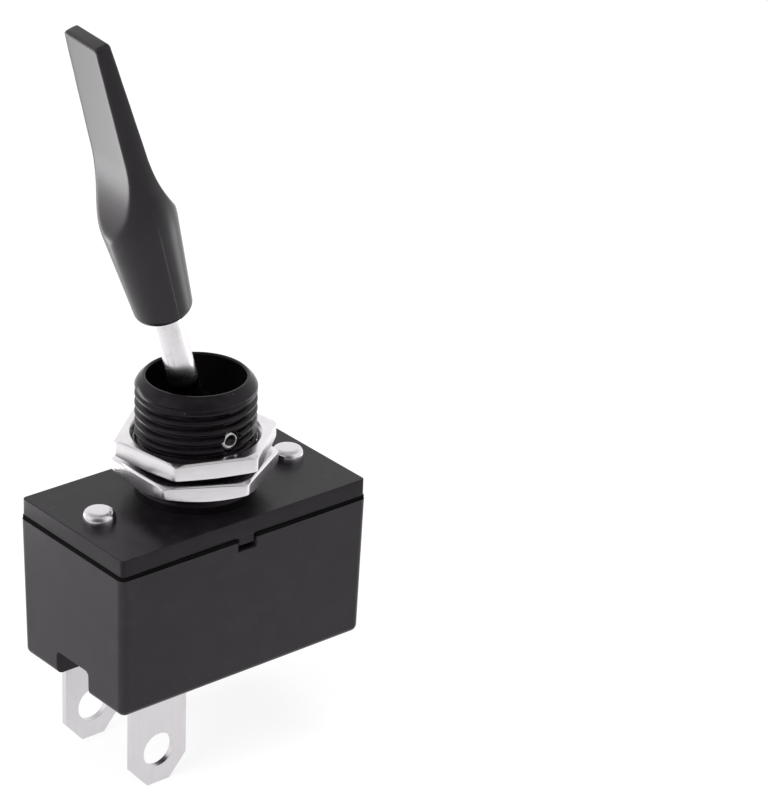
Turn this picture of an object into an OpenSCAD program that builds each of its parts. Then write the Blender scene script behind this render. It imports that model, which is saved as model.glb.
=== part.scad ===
// Panel toggle switch, on-off, with a moulded threaded bushing and a paddle handle.
// Origin: axis of the bushing at the cover plate's top face. +Z leaves through the bushing,
// X is the direction in which the lever rocks, and both terminals stand at the -X end.

/* [Cover plate] */
// Length of the cover plate, along the rocking direction
cover_l = 29.5; // [27:0.1:32]
// Width of the cover plate
cover_w = 16.5; // [15.5:0.1:17.5]
// Thickness of the cover plate
cover_t = 1.8; // [1.4:0.1:2.4]
// Radius of the cover plate's upright corners
cover_r = 0.4; // [0.2:0.1:1]
// Width of the tab that locates the cover on the housing
tab_w = 1.9; // [1.4:0.1:3]
// Depth of the tab below the cover plate
tab_h = 0.8; // [0.5:0.1:1.2]
// Depth of the two long ribs under the cover plate
rib_h = 0.9; // [0.6:0.1:1.2]

/* [Bushing] */
// Outer diameter of the bushing's thread
bush_d = 12; // [11.8:0.1:12.4]
// Height of the bushing above the cover plate
bush_h = 12.3; // [11.5:0.1:15]
// Diameter of the bushing's bore
bore_d = 9.72; // [9.7:0.02:10.2]
// Height of the bevel round the bushing's mouth
lip_h = 1; // [0.6:0.1:1.2]
// Distance from one thread crest to the next
thread_pitch = 1; // [0.8:0.05:1.25]
// Depth of the thread's grooves
thread_depth = 0.5; // [0.3:0.05:0.6]
// Width of the bevel round the bushing's mouth
lip_w = 0.85; // [0.5:0.05:0.9]
// Height of the pivot above the cover plate
pivot_h = 7.2; // [7:0.1:7.6]
// Diameter of the pivot pin
pin_d = 2; // [1.6:0.1:2.2]

/* [Housing] */
// Height of the housing
housing_h = 15; // [14.6:0.1:17]
// Step by which the housing's rim stands out past the cover on each side
rim_step = 0.2; // [0.05:0.05:0.3]
// Inward lean of each wall from the rim to the bottom
draft = 0.25; // [0.1:0.05:0.4]
// Radius of the housing's outer corners and bottom edges
housing_r = 0.8; // [0.6:0.1:1.2]
// Thickness of the long walls at the rim
wall_t = 1.65; // [1.5:0.05:1.8]
// Thickness of the end walls at the rim
end_t = 1.45; // [1.3:0.05:1.6]
// Thickness of the floor
floor_t = 1.6; // [1.2:0.1:2]
// Thickness of the gasket between the cover and the housing
gasket_t = 0.35; // [0.2:0.05:0.5]
// Step by which the gasket's edge stands out past the cover on each side
gasket_out = 0.2; // [0.05:0.05:0.3]
// Width of the channel under each end of the housing
channel_w = 5.3; // [4.6:0.1:6]
// Height of the channel
channel_h = 2.7; // [2:0.1:3]
// Length of the channel, from the end wall inwards
channel_l = 5.9; // [5.4:0.1:6.2]

/* [Rivets] */
// Distance of a rivet from the cover plate's end
rivet_in = 3.25; // [3:0.05:3.4]
// Diameter of a rivet's shank
rivet_d = 2.2; // [1.8:0.1:2.4]
// Diameter of a rivet's head
rivet_head_d = 3.3; // [2.8:0.1:3.8]
// Height of a rivet's head
rivet_head_h = 1.15; // [0.8:0.05:1.4]

/* [Nuts] */
// Width of the nuts across their flats
nut_af = 14.3; // [14:0.1:16]
// Thickness of each nut
nut_t = 1.8; // [1.5:0.05:2]
// Angle of the conical chamfer on the nuts' lower corners
nut_chamfer = 24; // [18:1:32]
// Height of the backing nut above the cover plate
backing_z = 2; // [1.6:0.05:2.2]
// Gap between the backing nut and the panel nut
nut_gap = 0.7; // [0.5:0.05:0.9]
// Turn of the backing nut about the bushing
backing_turn = 30.6; // [0:0.1:60]
// Turn of the panel nut about the bushing
panel_turn = 39.2; // [0:0.1:60]

/* [Lever and handle] */
// Angle between the upright and the lever at each end of its travel
rock = 17; // [15:0.5:17]
// Diameter of the lever's shaft
shaft_d = 2.9; // [2.4:0.1:3.4]
// Diameter of the ball round the pivot pin
ball_d = 6.2; // [5.4:0.1:6.6]
// Width of the lever's hub along the pivot pin
hub_w = 8; // [7:0.1:8.2]
// Diameter of the lever's hollow lower end
barrel_d = 3.8; // [3.6:0.1:3.8]
// Distance from the pivot to the end of the hollow lower end
barrel_l = 10.5; // [10:0.1:10.8]
// Distance from the pivot to the handle's lower edge
handle_start = 13.2; // [12:0.1:15]
// Length of the handle
handle_l = 30.7; // [28:0.1:34]
// Diameter of the handle at its lower edge
handle_d0 = 5.6; // [4.8:0.1:6.5]
// Diameter of the handle at its shoulder
handle_d1 = 7.44; // [6.8:0.02:8]
// Width of the paddle at its tip
handle_d2 = 5.9; // [5.4:0.1:6.6]
// Distance from the handle's lower edge to its shoulder
shoulder_l = 11.9; // [10.5:0.1:13.5]
// Thickness of the paddle at its tip
tip_t = 1.5; // [1:0.1:2]
// Thickness of the paddle where the scoop starts to flare
neck_t = 2.65; // [2:0.05:3]
// Distance from the handle's lower edge to that place
neck_l = 14.5; // [13.5:0.1:16]
// Angle at which the scoop leaves the cone
scoop_angle = 32; // [26:0.5:36]
// Radius of the scoop
scoop_r = 14; // [8:0.5:18]
// Turn of the handle about the shaft
handle_turn = -5; // [-8:0.5:8]

/* [Terminals] */
// Thickness of the terminals' sheet
blade_t = 0.65; // [0.5:0.05:0.8]
// Width of a terminal
blade_w = 6.65; // [6.3:0.05:7]
// Length of a terminal below the housing
blade_l = 10.3; // [8:0.1:14]
// Distance of a terminal's middle from the cover plate's end
blade_inset = 6.2; // [6:0.05:6.4]
// Distance between the two terminals' outer faces
blade_span = 11.6; // [11.2:0.1:11.8]
// Width of the cut corners at a terminal's end
blade_cut_w = 2; // [1:0.1:2.4]
// Height of the cut corners at a terminal's end
blade_cut_h = 2.3; // [1:0.1:2.6]
// Diameter of the hole in a terminal
eye_d = 3.6; // [3.2:0.1:4]
// Distance of the hole's middle from a terminal's end
eye_up = 3.65; // [3.2:0.05:4.5]

/* [Contact mechanism] */
// Distance from the pivot to the contact roller's axis
arm_l = 15; // [14.8:0.05:15.2]
// Diameter of the contact roller
roller_d = 3; // [2.6:0.1:3.2]
// Diameter of the roller's waist, which the plunger holds
waist_d = 1.66; // [1.4:0.02:1.8]
// Length of the contact roller
roller_l = 9.4; // [8.8:0.1:9.5]
// Height of the hump that the roller crosses
hump_h = 0.2; // [0.1:0.05:0.3]
// Diameter of the plunger's stem
stem_d = 2.56; // [2.3:0.02:2.6]
// Travel of the plunger
plunger_travel = 1; // [0.6:0.1:1.1]
// Diameter of the spring's wire
wire_d = 0.34; // [0.25:0.01:0.4]
// Number of turns of the spring
spring_turns = 5; // [4:1:5]
// Thickness of the silver facing on each contact shelf
facing_t = 0.25; // [0.15:0.05:0.4]

/* [Hidden] */
$fn = 64;

// Clearances: a running fit, a fixed fit, and the seat of a piece that only touches
running = 0.05;
fixed = 0.02;
seat = 0.1;
past = 1;

// Levels, from the cover's top face downwards
cover_bottom = -cover_t;
rim_top = cover_bottom - gasket_t;
housing_bottom = rim_top - housing_h;
floor_top = housing_bottom + floor_t;
channel_top = housing_bottom + channel_h;

// Housing and its cavity
housing_l = cover_l + 2 * rim_step;
housing_w = cover_w + 2 * rim_step;
cavity_l = housing_l - 2 * end_t;
cavity_w = housing_w - 2 * wall_t;
cavity_r = 0.8;
channel_wall = 1.2;
rivet_x = cover_l / 2 - rivet_in;
post_wall = 0.9;
post_r = rivet_d / 2 + post_wall;
roof_t = 1.2;
tab_t = 0.9;
tab_play = 0.2;
tab_gap = 0.6;
rib_w = 1;
channel_r = 0.5;

// Bushing and nuts
bush_r = bush_d / 2;
bore_r = bore_d / 2;
nut_bore_r = bush_r + running;
thread_z = 1.1;
thread_crest = 0.3 * thread_pitch;
thread_flank = 0.26 * thread_pitch;
nut_sink = 0.4;
nut_sole_step = 0.15;
nut_top_cut = 0.5;
panel_z = backing_z + nut_t + nut_gap;
pin_sink = thread_depth + 0.1;
pin_rim = 0.2;
pin_end = bush_r - pin_sink;

// Lever, plunger and spring, with the pivot at the origin and the lever upright
shaft_short = 2.5;
shaft_in = neck_l - shaft_short;
barrel_bore_r = stem_d / 2 + running;
barrel_bore_top = 4;
head_play = 0.3;
head_top = barrel_l + plunger_travel + head_play;
head_l = 3.4;
head_r = 0.4;
fork_gap = 0.3;
fork_w = 4.3;
fork_lip = 0.4;
stem_top = 7.2;
spring_l = stem_top - barrel_bore_top - seat;
spring_r = barrel_bore_r - wire_d / 2 - seat;
spring_sides = 6;
spring_steps = 16;

// Radii round the pivot at which the contacts and the track lie
path_r = arm_l + roller_d / 2 + running;
track_r = path_r + hump_h;
shelf_r = track_r + facing_t;
shelf_in = shelf_r + blade_t;
hump_r = 1.2;

// Terminals inside the housing
blade_x = cover_l / 2 - blade_inset;
blade_out = blade_span / 2;
blade_in = blade_out - blade_t;
shelf_reach = 3;
shelf_y = blade_out - shelf_reach;
shelf_a0 = rock - 11;
shelf_a1 = rock + 8;
facing_a0 = rock - 7;
facing_a1 = rock + 6;
arc_steps = 8;
shoulder = 0.6;
ear_w = 2.6;
ear_top = cover_bottom - rib_h - seat;
bed_gap = 0.1;
bed_in = 0.3;
track_inset = 0.5;
track_y0 = fork_w / 2 + fork_gap + track_inset;
track_y1 = roller_l / 2 - 2 * seat;
track_end = 9;

// A point at radius r round the pivot, a degrees from straight down towards -X
function swing(r, a) = [-r * sin(a), pivot_h - r * cos(a)];

// Filled rectangle with round corners, centred
module round_rect(l, w, r) {
    square([l - 2 * r, w], center = true);
    square([l, w - 2 * r], center = true);
    for (sx = [-1, 1], sy = [-1, 1])
        translate([sx * (l / 2 - r), sy * (w / 2 - r)]) circle(r);
}

// Plate with round upright corners, from z0 up to z1
module plate(l, w, r, z0, z1) {
    translate([0, 0, z0]) linear_extrude(z1 - z0) round_rect(l, w, r);
}

// Flat shape drawn in X and Z, from y0 to y1
module slab(y0, y1) {
    translate([0, y1, 0]) rotate([90, 0, 0]) linear_extrude(y1 - y0) children();
}

// Part of a ring round the pivot, between the angles a0 and a1 from straight down
module ring_part(r0, r1, y0, y1, a0, a1) {
    translate([0, 0, pivot_h]) rotate([90, 0, 0]) rotate([0, 0, 270 - a1])
        rotate_extrude(angle = a1 - a0) translate([r0, -y1]) square([r1 - r0, y1 - y0]);
}

// Cylinder along Y through the pivot, in the lever's own frame
module cross_bar(d, w) {
    rotate([90, 0, 0]) cylinder(d = d, h = w, center = true);
}

// Puts a piece that is drawn upright round the pivot into its rest position
module at_rest() {
    translate([0, 0, pivot_h]) rotate([0, -rock, 0]) children();
}

// Drafted outer form of the housing
module housing_skin() {
    rim_band = 0.01;
    lx = housing_l / 2 - housing_r;
    wy = housing_w / 2 - housing_r;
    hull() for (sx = [-1, 1], sy = [-1, 1]) {
        translate([sx * lx, sy * wy, rim_top - rim_band])
            cylinder(r = housing_r, h = rim_band, $fn = 32);
        translate([sx * (lx - draft), sy * (wy - draft), housing_bottom + housing_r])
            sphere(housing_r, $fn = 32);
    }
}

// Post round a rivet with the block over the channel that carries it
module end_block(side) {
    block_l = channel_l + channel_wall;
    roof = channel_top + roof_t;
    x0 = housing_l / 2 - block_l;
    intersection() {
        mirror([side < 0 ? 1 : 0, 0, 0]) union() {
            translate([x0, -channel_w / 2 - channel_wall, floor_top - past])
                cube([block_l, channel_w + 2 * channel_wall, roof - floor_top + past]);
            translate([rivet_x, 0, roof - past]) cylinder(r = post_r, h = rim_top - roof + past);
            translate([rivet_x, -post_r / 2, roof - past])
                cube([housing_l / 2 - rivet_x, post_r, rim_top - roof + past]);
        }
        plate(cavity_l + seat, cavity_w + seat, cavity_r, floor_top - past, rim_top);
    }
}

// Channel under one end, with rounded top corners and a round inner end
module channel(side) {
    mirror([side < 0 ? 1 : 0, 0, 0]) {
        translate([housing_l / 2 - channel_l, 0, housing_bottom - past])
            rotate([90, 0, 90]) linear_extrude(channel_l + past) {
                translate([0, (channel_h + past) / 2])
                    round_rect(channel_w, channel_h + past, channel_r);
                translate([-channel_w / 2, 0]) square([channel_w, past]);
            }
    }
}

// Rails on which the roller's ends run, and the bed under each contact shelf
module track(side) {
    mirror([0, side < 0 ? 1 : 0, 0]) {
        slab(track_y0, track_y1) difference() {
            translate([-hump_r, floor_top - seat]) square([track_end + hump_r, pivot_h - floor_top]);
            translate([0, pivot_h]) circle(track_r);
            translate([-track_end, swing(track_r, -2 * rock)[1]]) square([3 * track_end, track_end * 3]);
        }
        translate([0, 0, pivot_h - path_r - hump_r])
            slab(track_y0, track_y1) circle(hump_r);
        slab(track_y0, blade_in - bed_gap) difference() {
            x1 = swing(shelf_in, shelf_a0)[0];
            x0 = swing(shelf_in, shelf_a1)[0] + bed_in;
            translate([x0, floor_top - seat]) square([x1 - x0, pivot_h - floor_top]);
            translate([0, pivot_h]) circle(shelf_in + bed_gap);
            translate([-track_end - past, swing(shelf_in, shelf_a1)[1]]) square(3 * track_end);
        }
    }
}

module housing() {
    slot_l = blade_w + 2 * fixed;
    color([0.13, 0.13, 0.14]) difference() {
        union() {
            difference() {
                housing_skin();
                plate(cavity_l, cavity_w, cavity_r, floor_top, rim_top + past);
            }
            for (side = [-1, 1]) {
                end_block(side);
                track(side);
            }
        }
        for (side = [-1, 1]) {
            channel(side);
            translate([side * rivet_x, 0, housing_bottom - past])
                cylinder(d = rivet_d + 2 * fixed, h = housing_h + 2 * past);
            translate([-blade_x - slot_l / 2, side * (blade_out + blade_in) / 2 - blade_t / 2 - fixed,
                       housing_bottom - past])
                cube([slot_l, blade_t + 2 * fixed, floor_t + 2 * past]);
            translate([-tab_w / 2 - tab_play, side > 0 ? cavity_w / 2 - past : -housing_w / 2 - past,
                       rim_top - tab_h - tab_gap + gasket_t])
                cube([tab_w + 2 * tab_play, wall_t + 2 * past, tab_h + tab_gap + past]);
        }
    }
}

// Side of the threaded wall, its thread drawn as rings: a groove every thread_pitch from thread_z up
function groove_walls() = [for (i = [0:floor((bush_h - lip_h - thread_z) / thread_pitch) - 1])
    for (p = [[0, 0], [thread_depth, thread_flank],
              [thread_depth, thread_pitch - thread_crest - thread_flank], [0, thread_pitch - thread_crest]])
        [bush_r - p[0], thread_z + i * thread_pitch + p[1]]];

module cover() {
    color([0.09, 0.09, 0.1]) difference() {
        union() {
            plate(cover_l, cover_w, cover_r, cover_bottom, 0);
            rotate_extrude() polygon(concat(
                [[0, cover_bottom], [bush_r, cover_bottom]],
                groove_walls(),
                [[bush_r, bush_h - lip_h], [bush_r - lip_w, bush_h], [0, bush_h]]));
            for (side = [-1, 1]) {
                translate([-tab_w / 2, side > 0 ? cover_w / 2 - tab_t : -cover_w / 2, cover_bottom - tab_h])
                    cube([tab_w, tab_t, tab_h + seat]);
                translate([-cavity_l / 2 + cavity_r, side * (cavity_w / 2 - seat - rib_w / 2) - rib_w / 2,
                           cover_bottom - rib_h])
                    cube([cavity_l - 2 * cavity_r, rib_w, rib_h + seat]);
                translate([side * rivet_x, 0, rim_top])
                    cylinder(r = post_r, h = gasket_t + seat);
            }
        }
        translate([0, 0, cover_bottom - past]) cylinder(r = bore_r, h = bush_h + cover_t + 2 * past);
        for (side = [-1, 1]) {
            translate([side * rivet_x, 0, rim_top - past])
                cylinder(d = rivet_d + 2 * fixed, h = cover_t + gasket_t + 2 * past);
            translate([0, side * (pin_end + fixed), pivot_h]) rotate([-side * 90, 0, 0])
                cylinder(d1 = pin_d + 2 * fixed, d2 = pin_d + 2 * pin_rim, h = pin_sink + past);
        }
        translate([0, 0, pivot_h]) cross_bar(pin_d + 2 * fixed, bush_d + past);
    }
}

module cover_gasket() {
    color([0.05, 0.05, 0.05]) difference() {
        plate(cover_l + 2 * gasket_out, cover_w + 2 * gasket_out, cover_r, rim_top, cover_bottom);
        plate(cavity_l, cavity_w, cavity_r, rim_top - past, past);
        for (side = [-1, 1]) {
            translate([-tab_w / 2 - tab_play,
                       side > 0 ? cover_w / 2 - tab_t - seat : -cover_w / 2 - gasket_out, rim_top - past])
                cube([tab_w + 2 * tab_play, tab_t + seat + gasket_out, gasket_t + 2 * past]);
            translate([side * rivet_x, 0, rim_top - past])
                cylinder(r = post_r + seat, h = gasket_t + 2 * past);
        }
    }
}

// Semi-tubular rivet: low domed head on the cover, rolled tail in the housing's channel
module rivet(side) {
    head_r = rivet_head_d / 2;
    edge = rivet_head_h / 2;
    tail_h = 0.7;
    tail_bore_d = rivet_d * 0.6;
    tail_bore_l = 3;
    color([0.8, 0.8, 0.8]) translate([side * rivet_x, 0, 0]) difference() {
        union() {
            rotate_extrude() {
                square([head_r - edge, rivet_head_h]);
                square([head_r, rivet_head_h - edge]);
                intersection() {
                    translate([head_r - edge, rivet_head_h - edge]) circle(edge);
                    square([head_r, rivet_head_h]);
                }
            }
            translate([0, 0, channel_top - tail_h / 2])
                cylinder(d = rivet_d, h = tail_h / 2 - channel_top + seat);
            translate([0, 0, channel_top - tail_h]) rotate_extrude() {
                square([rivet_d / 2, tail_h]);
                translate([rivet_d / 2, tail_h / 2]) circle(tail_h / 2);
            }
        }
        translate([0, 0, channel_top - tail_h - past])
            cylinder(d = tail_bore_d, h = tail_h + tail_bore_l);
    }
}

// Thin hexagon nut from z0 upwards: a cone takes off its lower corners, a slight one its upper corners
module hex_nut(z0, turn) {
    corner_r = nut_af / 2 / cos(30);
    sole_r = nut_af / 2 - nut_sole_step;
    cone_h = (corner_r - sole_r) * tan(nut_chamfer);
    color([0.78, 0.78, 0.78]) translate([0, 0, z0]) difference() {
        intersection() {
            rotate([0, 0, turn]) cylinder(r = corner_r, h = nut_t, $fn = 6);
            rotate_extrude() polygon([[0, 0], [sole_r, 0], [corner_r, cone_h],
                                      [corner_r, nut_t - nut_top_cut / 2],
                                      [corner_r - nut_top_cut, nut_t], [0, nut_t]]);
        }
        translate([0, 0, -past]) cylinder(r = nut_bore_r, h = nut_t + 2 * past);
        translate([0, 0, -past]) cylinder(r1 = nut_bore_r + nut_sink + past, r2 = nut_bore_r - seat,
                                          h = nut_sink + past + seat);
        translate([0, 0, nut_t - nut_sink - seat])
            cylinder(r1 = nut_bore_r - seat, r2 = nut_bore_r + nut_sink + past, h = nut_sink + past + seat);
    }
}

module backing_nut() { hex_nut(backing_z, backing_turn); }
module panel_nut() { hex_nut(panel_z, panel_turn); }
module rivet_left() { rivet(-1); }
module rivet_right() { rivet(1); }

module pivot_pin() {
    color([0.7, 0.7, 0.7]) translate([0, 0, pivot_h]) cross_bar(pin_d, 2 * pin_end);
}

module lever() {
    hub_wall = 1;
    hub_d = pin_d + 2 * hub_wall;
    color([0.82, 0.82, 0.82]) at_rest() difference() {
        union() {
            cylinder(d = shaft_d, h = handle_start + shaft_in);
            sphere(d = ball_d);
            cross_bar(hub_d, hub_w);
            translate([0, 0, -barrel_l]) cylinder(d = barrel_d, h = barrel_l);
        }
        cross_bar(pin_d + 2 * running, hub_w + past);
        translate([0, 0, -barrel_l - past])
            cylinder(r = barrel_bore_r, h = barrel_l - barrel_bore_top + past);
    }
}

// Half thickness of the paddle at height s above the handle's lower edge: a straight taper to the tip,
// a straight flare at the scoop's foot, and an arc of scoop_r that blends them
function taper_at(s) = tip_t / 2 + (neck_t - tip_t) / 2 * (handle_l - s) / (handle_l - neck_l);
function flare_at(s) = neck_t / 2 + (neck_l - s) * tan(scoop_angle);
taper_angle = atan((neck_t - tip_t) / 2 / (handle_l - neck_l));
blend_l = scoop_r * tan((scoop_angle - taper_angle) / 2);
flare_s = neck_l - blend_l * cos(scoop_angle);
arc_x = flare_at(flare_s) + scoop_r * cos(scoop_angle);
arc_s = flare_s + scoop_r * sin(scoop_angle);

// Side view of the handle: one flank from the foot to the tip
function flank(steps) = concat(
    [[flare_at(-past), -past]],
    [for (i = [0:steps]) let (a = scoop_angle + (taper_angle - scoop_angle) * i / steps)
        [arc_x - scoop_r * cos(a), arc_s - scoop_r * sin(a)]],
    [[taper_at(handle_l + past), handle_l + past]]);

// Half width of the handle seen from its flat side: cone, swelling shoulder and slim blade
module handle_turned() {
    foot_r = 0.8;
    edge_r = 0.45;
    swell = 0.12;
    swell_l = 2.5;
    r0 = handle_d0 / 2;
    r1 = handle_d1 / 2;
    r2 = handle_d2 / 2;
    rotate_extrude() polygon(concat(
        [[0, 0]],
        [for (i = [0:arc_steps]) let (a = 90 * i / arc_steps)
            [r0 - foot_r + foot_r * sin(a), foot_r - foot_r * cos(a)]],
        [for (i = [0:arc_steps]) let (u = 2 * i / arc_steps - 1)
            [r1 - swell * u * u, shoulder_l + swell_l * u]],
        [for (i = [0:arc_steps]) let (a = 90 * i / arc_steps)
            [r2 - edge_r + edge_r * cos(a), handle_l - edge_r + edge_r * sin(a)]],
        [[0, handle_l]]));
}

module handle() {
    side = flank(12);
    color([0.16, 0.16, 0.17]) at_rest() translate([0, 0, handle_start]) rotate([0, 0, handle_turn])
        difference() {
            intersection() {
                handle_turned();
                slab(-handle_d1, handle_d1)
                    polygon(concat(side, [for (i = [len(side) - 1:-1:0]) [-side[i][0], side[i][1]]]));
            }
            translate([0, 0, -past]) cylinder(d = shaft_d + 2 * fixed, h = shaft_in + seat + past);
        }
}

// Insulating plunger: stem in the lever's hollow end, head with a saddle for the roller's waist
module plunger() {
    mouth_w = waist_d * 0.8;
    color([0.85, 0.82, 0.72]) at_rest() difference() {
        union() {
            translate([0, 0, -head_top - seat]) cylinder(d = stem_d, h = head_top - stem_top + seat);
            translate([0, 0, -arm_l - fork_lip]) linear_extrude(arm_l + fork_lip - head_top)
                round_rect(head_l, fork_w, head_r);
        }
        translate([0, 0, -arm_l]) cross_bar(waist_d + 2 * running, fork_w + past);
        translate([-mouth_w / 2, -fork_w, -arm_l - past]) cube([mouth_w, 2 * fork_w, past]);
    }
}

// Roller with a slim waist between two thick ends
module contact_roller() {
    color([0.8, 0.62, 0.36]) at_rest() translate([0, 0, -arm_l]) {
        cross_bar(waist_d, roller_l);
        for (side = [-1, 1]) {
            end_w = (roller_l - fork_w) / 2 - fork_gap;
            translate([0, side * (roller_l - end_w) / 2, 0]) cross_bar(roller_d, end_w);
        }
    }
}

// Coil spring: a round wire swept along a helix between the lever and the plunger's stem
module plunger_spring() {
    pitch = (spring_l - wire_d) / spring_turns;
    count = spring_turns * spring_steps;
    rings = [for (i = [0:count]) let (a = 360 * i / spring_steps, z = wire_d / 2 + pitch * i / spring_steps)
        for (k = [0:spring_sides - 1]) let (b = 360 * k / spring_sides, r = spring_r + wire_d / 2 * cos(b))
            [r * cos(a), r * sin(a), z + wire_d / 2 * sin(b)]];
    sides = [for (i = [0:count - 1], k = [0:spring_sides - 1])
        let (n = (k + 1) % spring_sides, p = i * spring_sides, q = p + spring_sides)
            for (f = [[p + k, q + k, q + n], [p + k, q + n, p + n]]) f];
    ends = [[for (k = [0:spring_sides - 1]) k],
            [for (k = [spring_sides - 1:-1:0]) count * spring_sides + k]];
    color([0.75, 0.75, 0.75]) at_rest() translate([0, 0, -stem_top + seat / 2])
        polyhedron(points = rings, faces = concat(sides, ends));
}

// Terminal in the plane of X and Z: blade with an eye below the housing, shoulders on its floor,
// an ear under the cover's rib and a curved shelf under the roller's end
module terminal(side) {
    x0 = -blade_x - blade_w / 2;
    x1 = -blade_x + blade_w / 2;
    end_z = housing_bottom - blade_l;
    sole = floor_top + fixed;
    shelf_mid = shelf_r + blade_t / 2;
    top = [for (i = [0:arc_steps]) swing(shelf_mid, shelf_a0 + (shelf_a1 - shelf_a0) * i / arc_steps)];
    color([0.84, 0.84, 0.84]) mirror([0, side > 0 ? 1 : 0, 0]) difference() {
        union() {
            slab(-blade_out, -blade_in) polygon(concat(
                [[x0 + blade_cut_w, end_z], [x1 - blade_cut_w, end_z], [x1, end_z + blade_cut_h],
                 [x1, sole], [top[0][0], sole]],
                top,
                [[x0 - shoulder + ear_w, top[arc_steps][1]], [x0 - shoulder + ear_w, ear_top],
                 [x0 - shoulder, ear_top], [x0 - shoulder, sole], [x0, sole], [x0, end_z + blade_cut_h]]));
            ring_part(shelf_r, shelf_in, -blade_out, -shelf_y, shelf_a0, shelf_a1);
        }
        translate([-blade_x, -blade_in + past, end_z + eye_up]) rotate([90, 0, 0])
            cylinder(d = eye_d, h = blade_t + 2 * past);
    }
}

// Silver facing on a terminal's shelf, where the roller's end comes to rest
module facing(side) {
    color([0.9, 0.9, 0.88]) mirror([0, side > 0 ? 1 : 0, 0])
        ring_part(track_r, shelf_r, -blade_in + seat, -shelf_y - seat, facing_a0, facing_a1);
}

module terminal_front() { terminal(-1); }
module terminal_rear() { terminal(1); }
module contact_front() { facing(-1); }
module contact_rear() { facing(1); }

housing();
cover();
cover_gasket();
rivet_left();
rivet_right();
backing_nut();
panel_nut();
pivot_pin();
lever();
handle();
plunger();
plunger_spring();
contact_roller();
terminal_front();
terminal_rear();
contact_front();
contact_rear();
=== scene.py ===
"""Meshes, finishes, ground, lamps and camera of a panel toggle switch.

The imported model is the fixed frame. Sizes in the dataclasses are millimetres in that frame: the cover's top
face is z = 0, the bushing's axis is Z and both terminals are on the -X side. Meshes are written in metres,
and WELD and CAD_WELD are the distances in metres at which the points of a new or a copied mesh merge.
"""
import logging
import math
from dataclasses import dataclass
from enum import Enum
from functools import cached_property

import bmesh
import bpy
import numpy as np
from mathutils import Matrix


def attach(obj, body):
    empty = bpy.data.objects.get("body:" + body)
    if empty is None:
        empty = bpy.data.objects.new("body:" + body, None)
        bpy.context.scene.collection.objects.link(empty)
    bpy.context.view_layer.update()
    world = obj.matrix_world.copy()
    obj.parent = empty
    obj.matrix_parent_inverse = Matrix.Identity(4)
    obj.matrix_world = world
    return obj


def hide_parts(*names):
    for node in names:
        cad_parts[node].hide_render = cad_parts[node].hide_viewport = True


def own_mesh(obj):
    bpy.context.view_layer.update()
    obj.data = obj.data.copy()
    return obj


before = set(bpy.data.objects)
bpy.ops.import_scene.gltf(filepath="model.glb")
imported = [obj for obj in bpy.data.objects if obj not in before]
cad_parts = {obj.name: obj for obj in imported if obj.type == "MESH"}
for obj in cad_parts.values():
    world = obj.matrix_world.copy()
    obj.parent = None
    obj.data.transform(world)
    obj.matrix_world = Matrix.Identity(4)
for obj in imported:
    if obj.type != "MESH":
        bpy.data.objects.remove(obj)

Socket = bpy.types.NodeSocket

LOG = logging.getLogger("toggle_switch")
MM = 0.001
TURN = 2 * math.pi
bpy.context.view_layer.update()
WELD = 1e-7
CAD_WELD = 2e-7
CAD_FLAT = math.radians(0.6)

PIVOT_Z = 7.2
ROCK = math.radians(17)
HANDLE_TURN = math.radians(-5)
TOWARDS_CAMERA = (-0.65, -0.76, 0.0)


class Body(Enum):
    """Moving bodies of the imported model."""

    HOUSED = "body"
    LEVER = "lever"
    PLUNGER = "plunger"
    ROLLER = "roller"
    PANEL_NUT = "panel_nut"
    BACKING_NUT = "backing_nut"


class Lay(Enum):
    """Direction in which the marks of a metal's making run."""

    UPRIGHT = (1.0, 1.0, 0.035)
    ALONG_Y = (1.0, 0.035, 1.0)
    LEVEL = (0.08, 0.08, 1.0)
    EVEN = (1.0, 1.0, 1.0)


@dataclass
class Shell:
    """A closed surface: points in millimetres, and four point numbers for each face."""

    points: np.ndarray
    faces: np.ndarray

    def outward(self) -> "Shell":
        """Gives the shell with its faces pointing out.

        The signed volume is the sum of a . (b x c) / 6 over the two triangles of each face.

        Returns:
            The same shell, its faces turned round where that volume is negative.
        """
        a, b, c, d = (self.points[self.faces[:, k]] for k in range(4))
        volume = np.einsum("ij,ij->", a, np.cross(b, c)) + np.einsum("ij,ij->", a, np.cross(c, d))
        return Shell(self.points, self.faces[:, ::-1]) if volume < 0 else self

    def moved(self, x: float = 0.0, y: float = 0.0, z: float = 0.0) -> "Shell":
        """Gives the shell shifted by x, y and z."""
        return Shell(self.points + np.array([x, y, z]), self.faces)

    def along_y(self) -> "Shell":
        """Gives the shell with its Z axis laid along Y: (x, y, z) becomes (x, z, -y)."""
        return Shell(np.stack([self.points[:, 0], self.points[:, 2], -self.points[:, 1]], -1), self.faces)

    def leaning(self) -> "Shell":
        """Gives a shell drawn upright round the pivot in its rest position.

        A point turns by the angle a about Y: x' = x cos a - z sin a, z' = x sin a + z cos a + pivot height.

        Returns:
            The turned shell.
        """
        x, y, z = self.points.T
        c, s = math.cos(ROCK), math.sin(ROCK)
        return Shell(np.stack([x * c - z * s, y, x * s + z * c + PIVOT_Z], -1), self.faces)


def grid_shell(grid: np.ndarray, ring: bool = False) -> Shell:
    """Joins a grid of points into a shell that closes round its columns.

    Face (i, j) has the corners (i, j), (i, j + 1), (i + 1, j + 1) and (i + 1, j).

    Args:
        grid: points, rows by columns by three.
        ring: whether the last row joins the first, as on a tube bent to a ring.

    Returns:
        The shell, its faces pointing out.
    """
    rows, cols = grid.shape[:2]
    number = np.arange(rows * cols).reshape(rows, cols)
    low = number if ring else number[:-1]
    high = np.roll(number, -1, axis=0) if ring else number[1:]
    faces = np.stack([low, np.roll(low, -1, axis=1), np.roll(high, -1, axis=1), high], axis=-1)
    return Shell(grid.reshape(-1, 3), faces.reshape(-1, 4)).outward()


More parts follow.
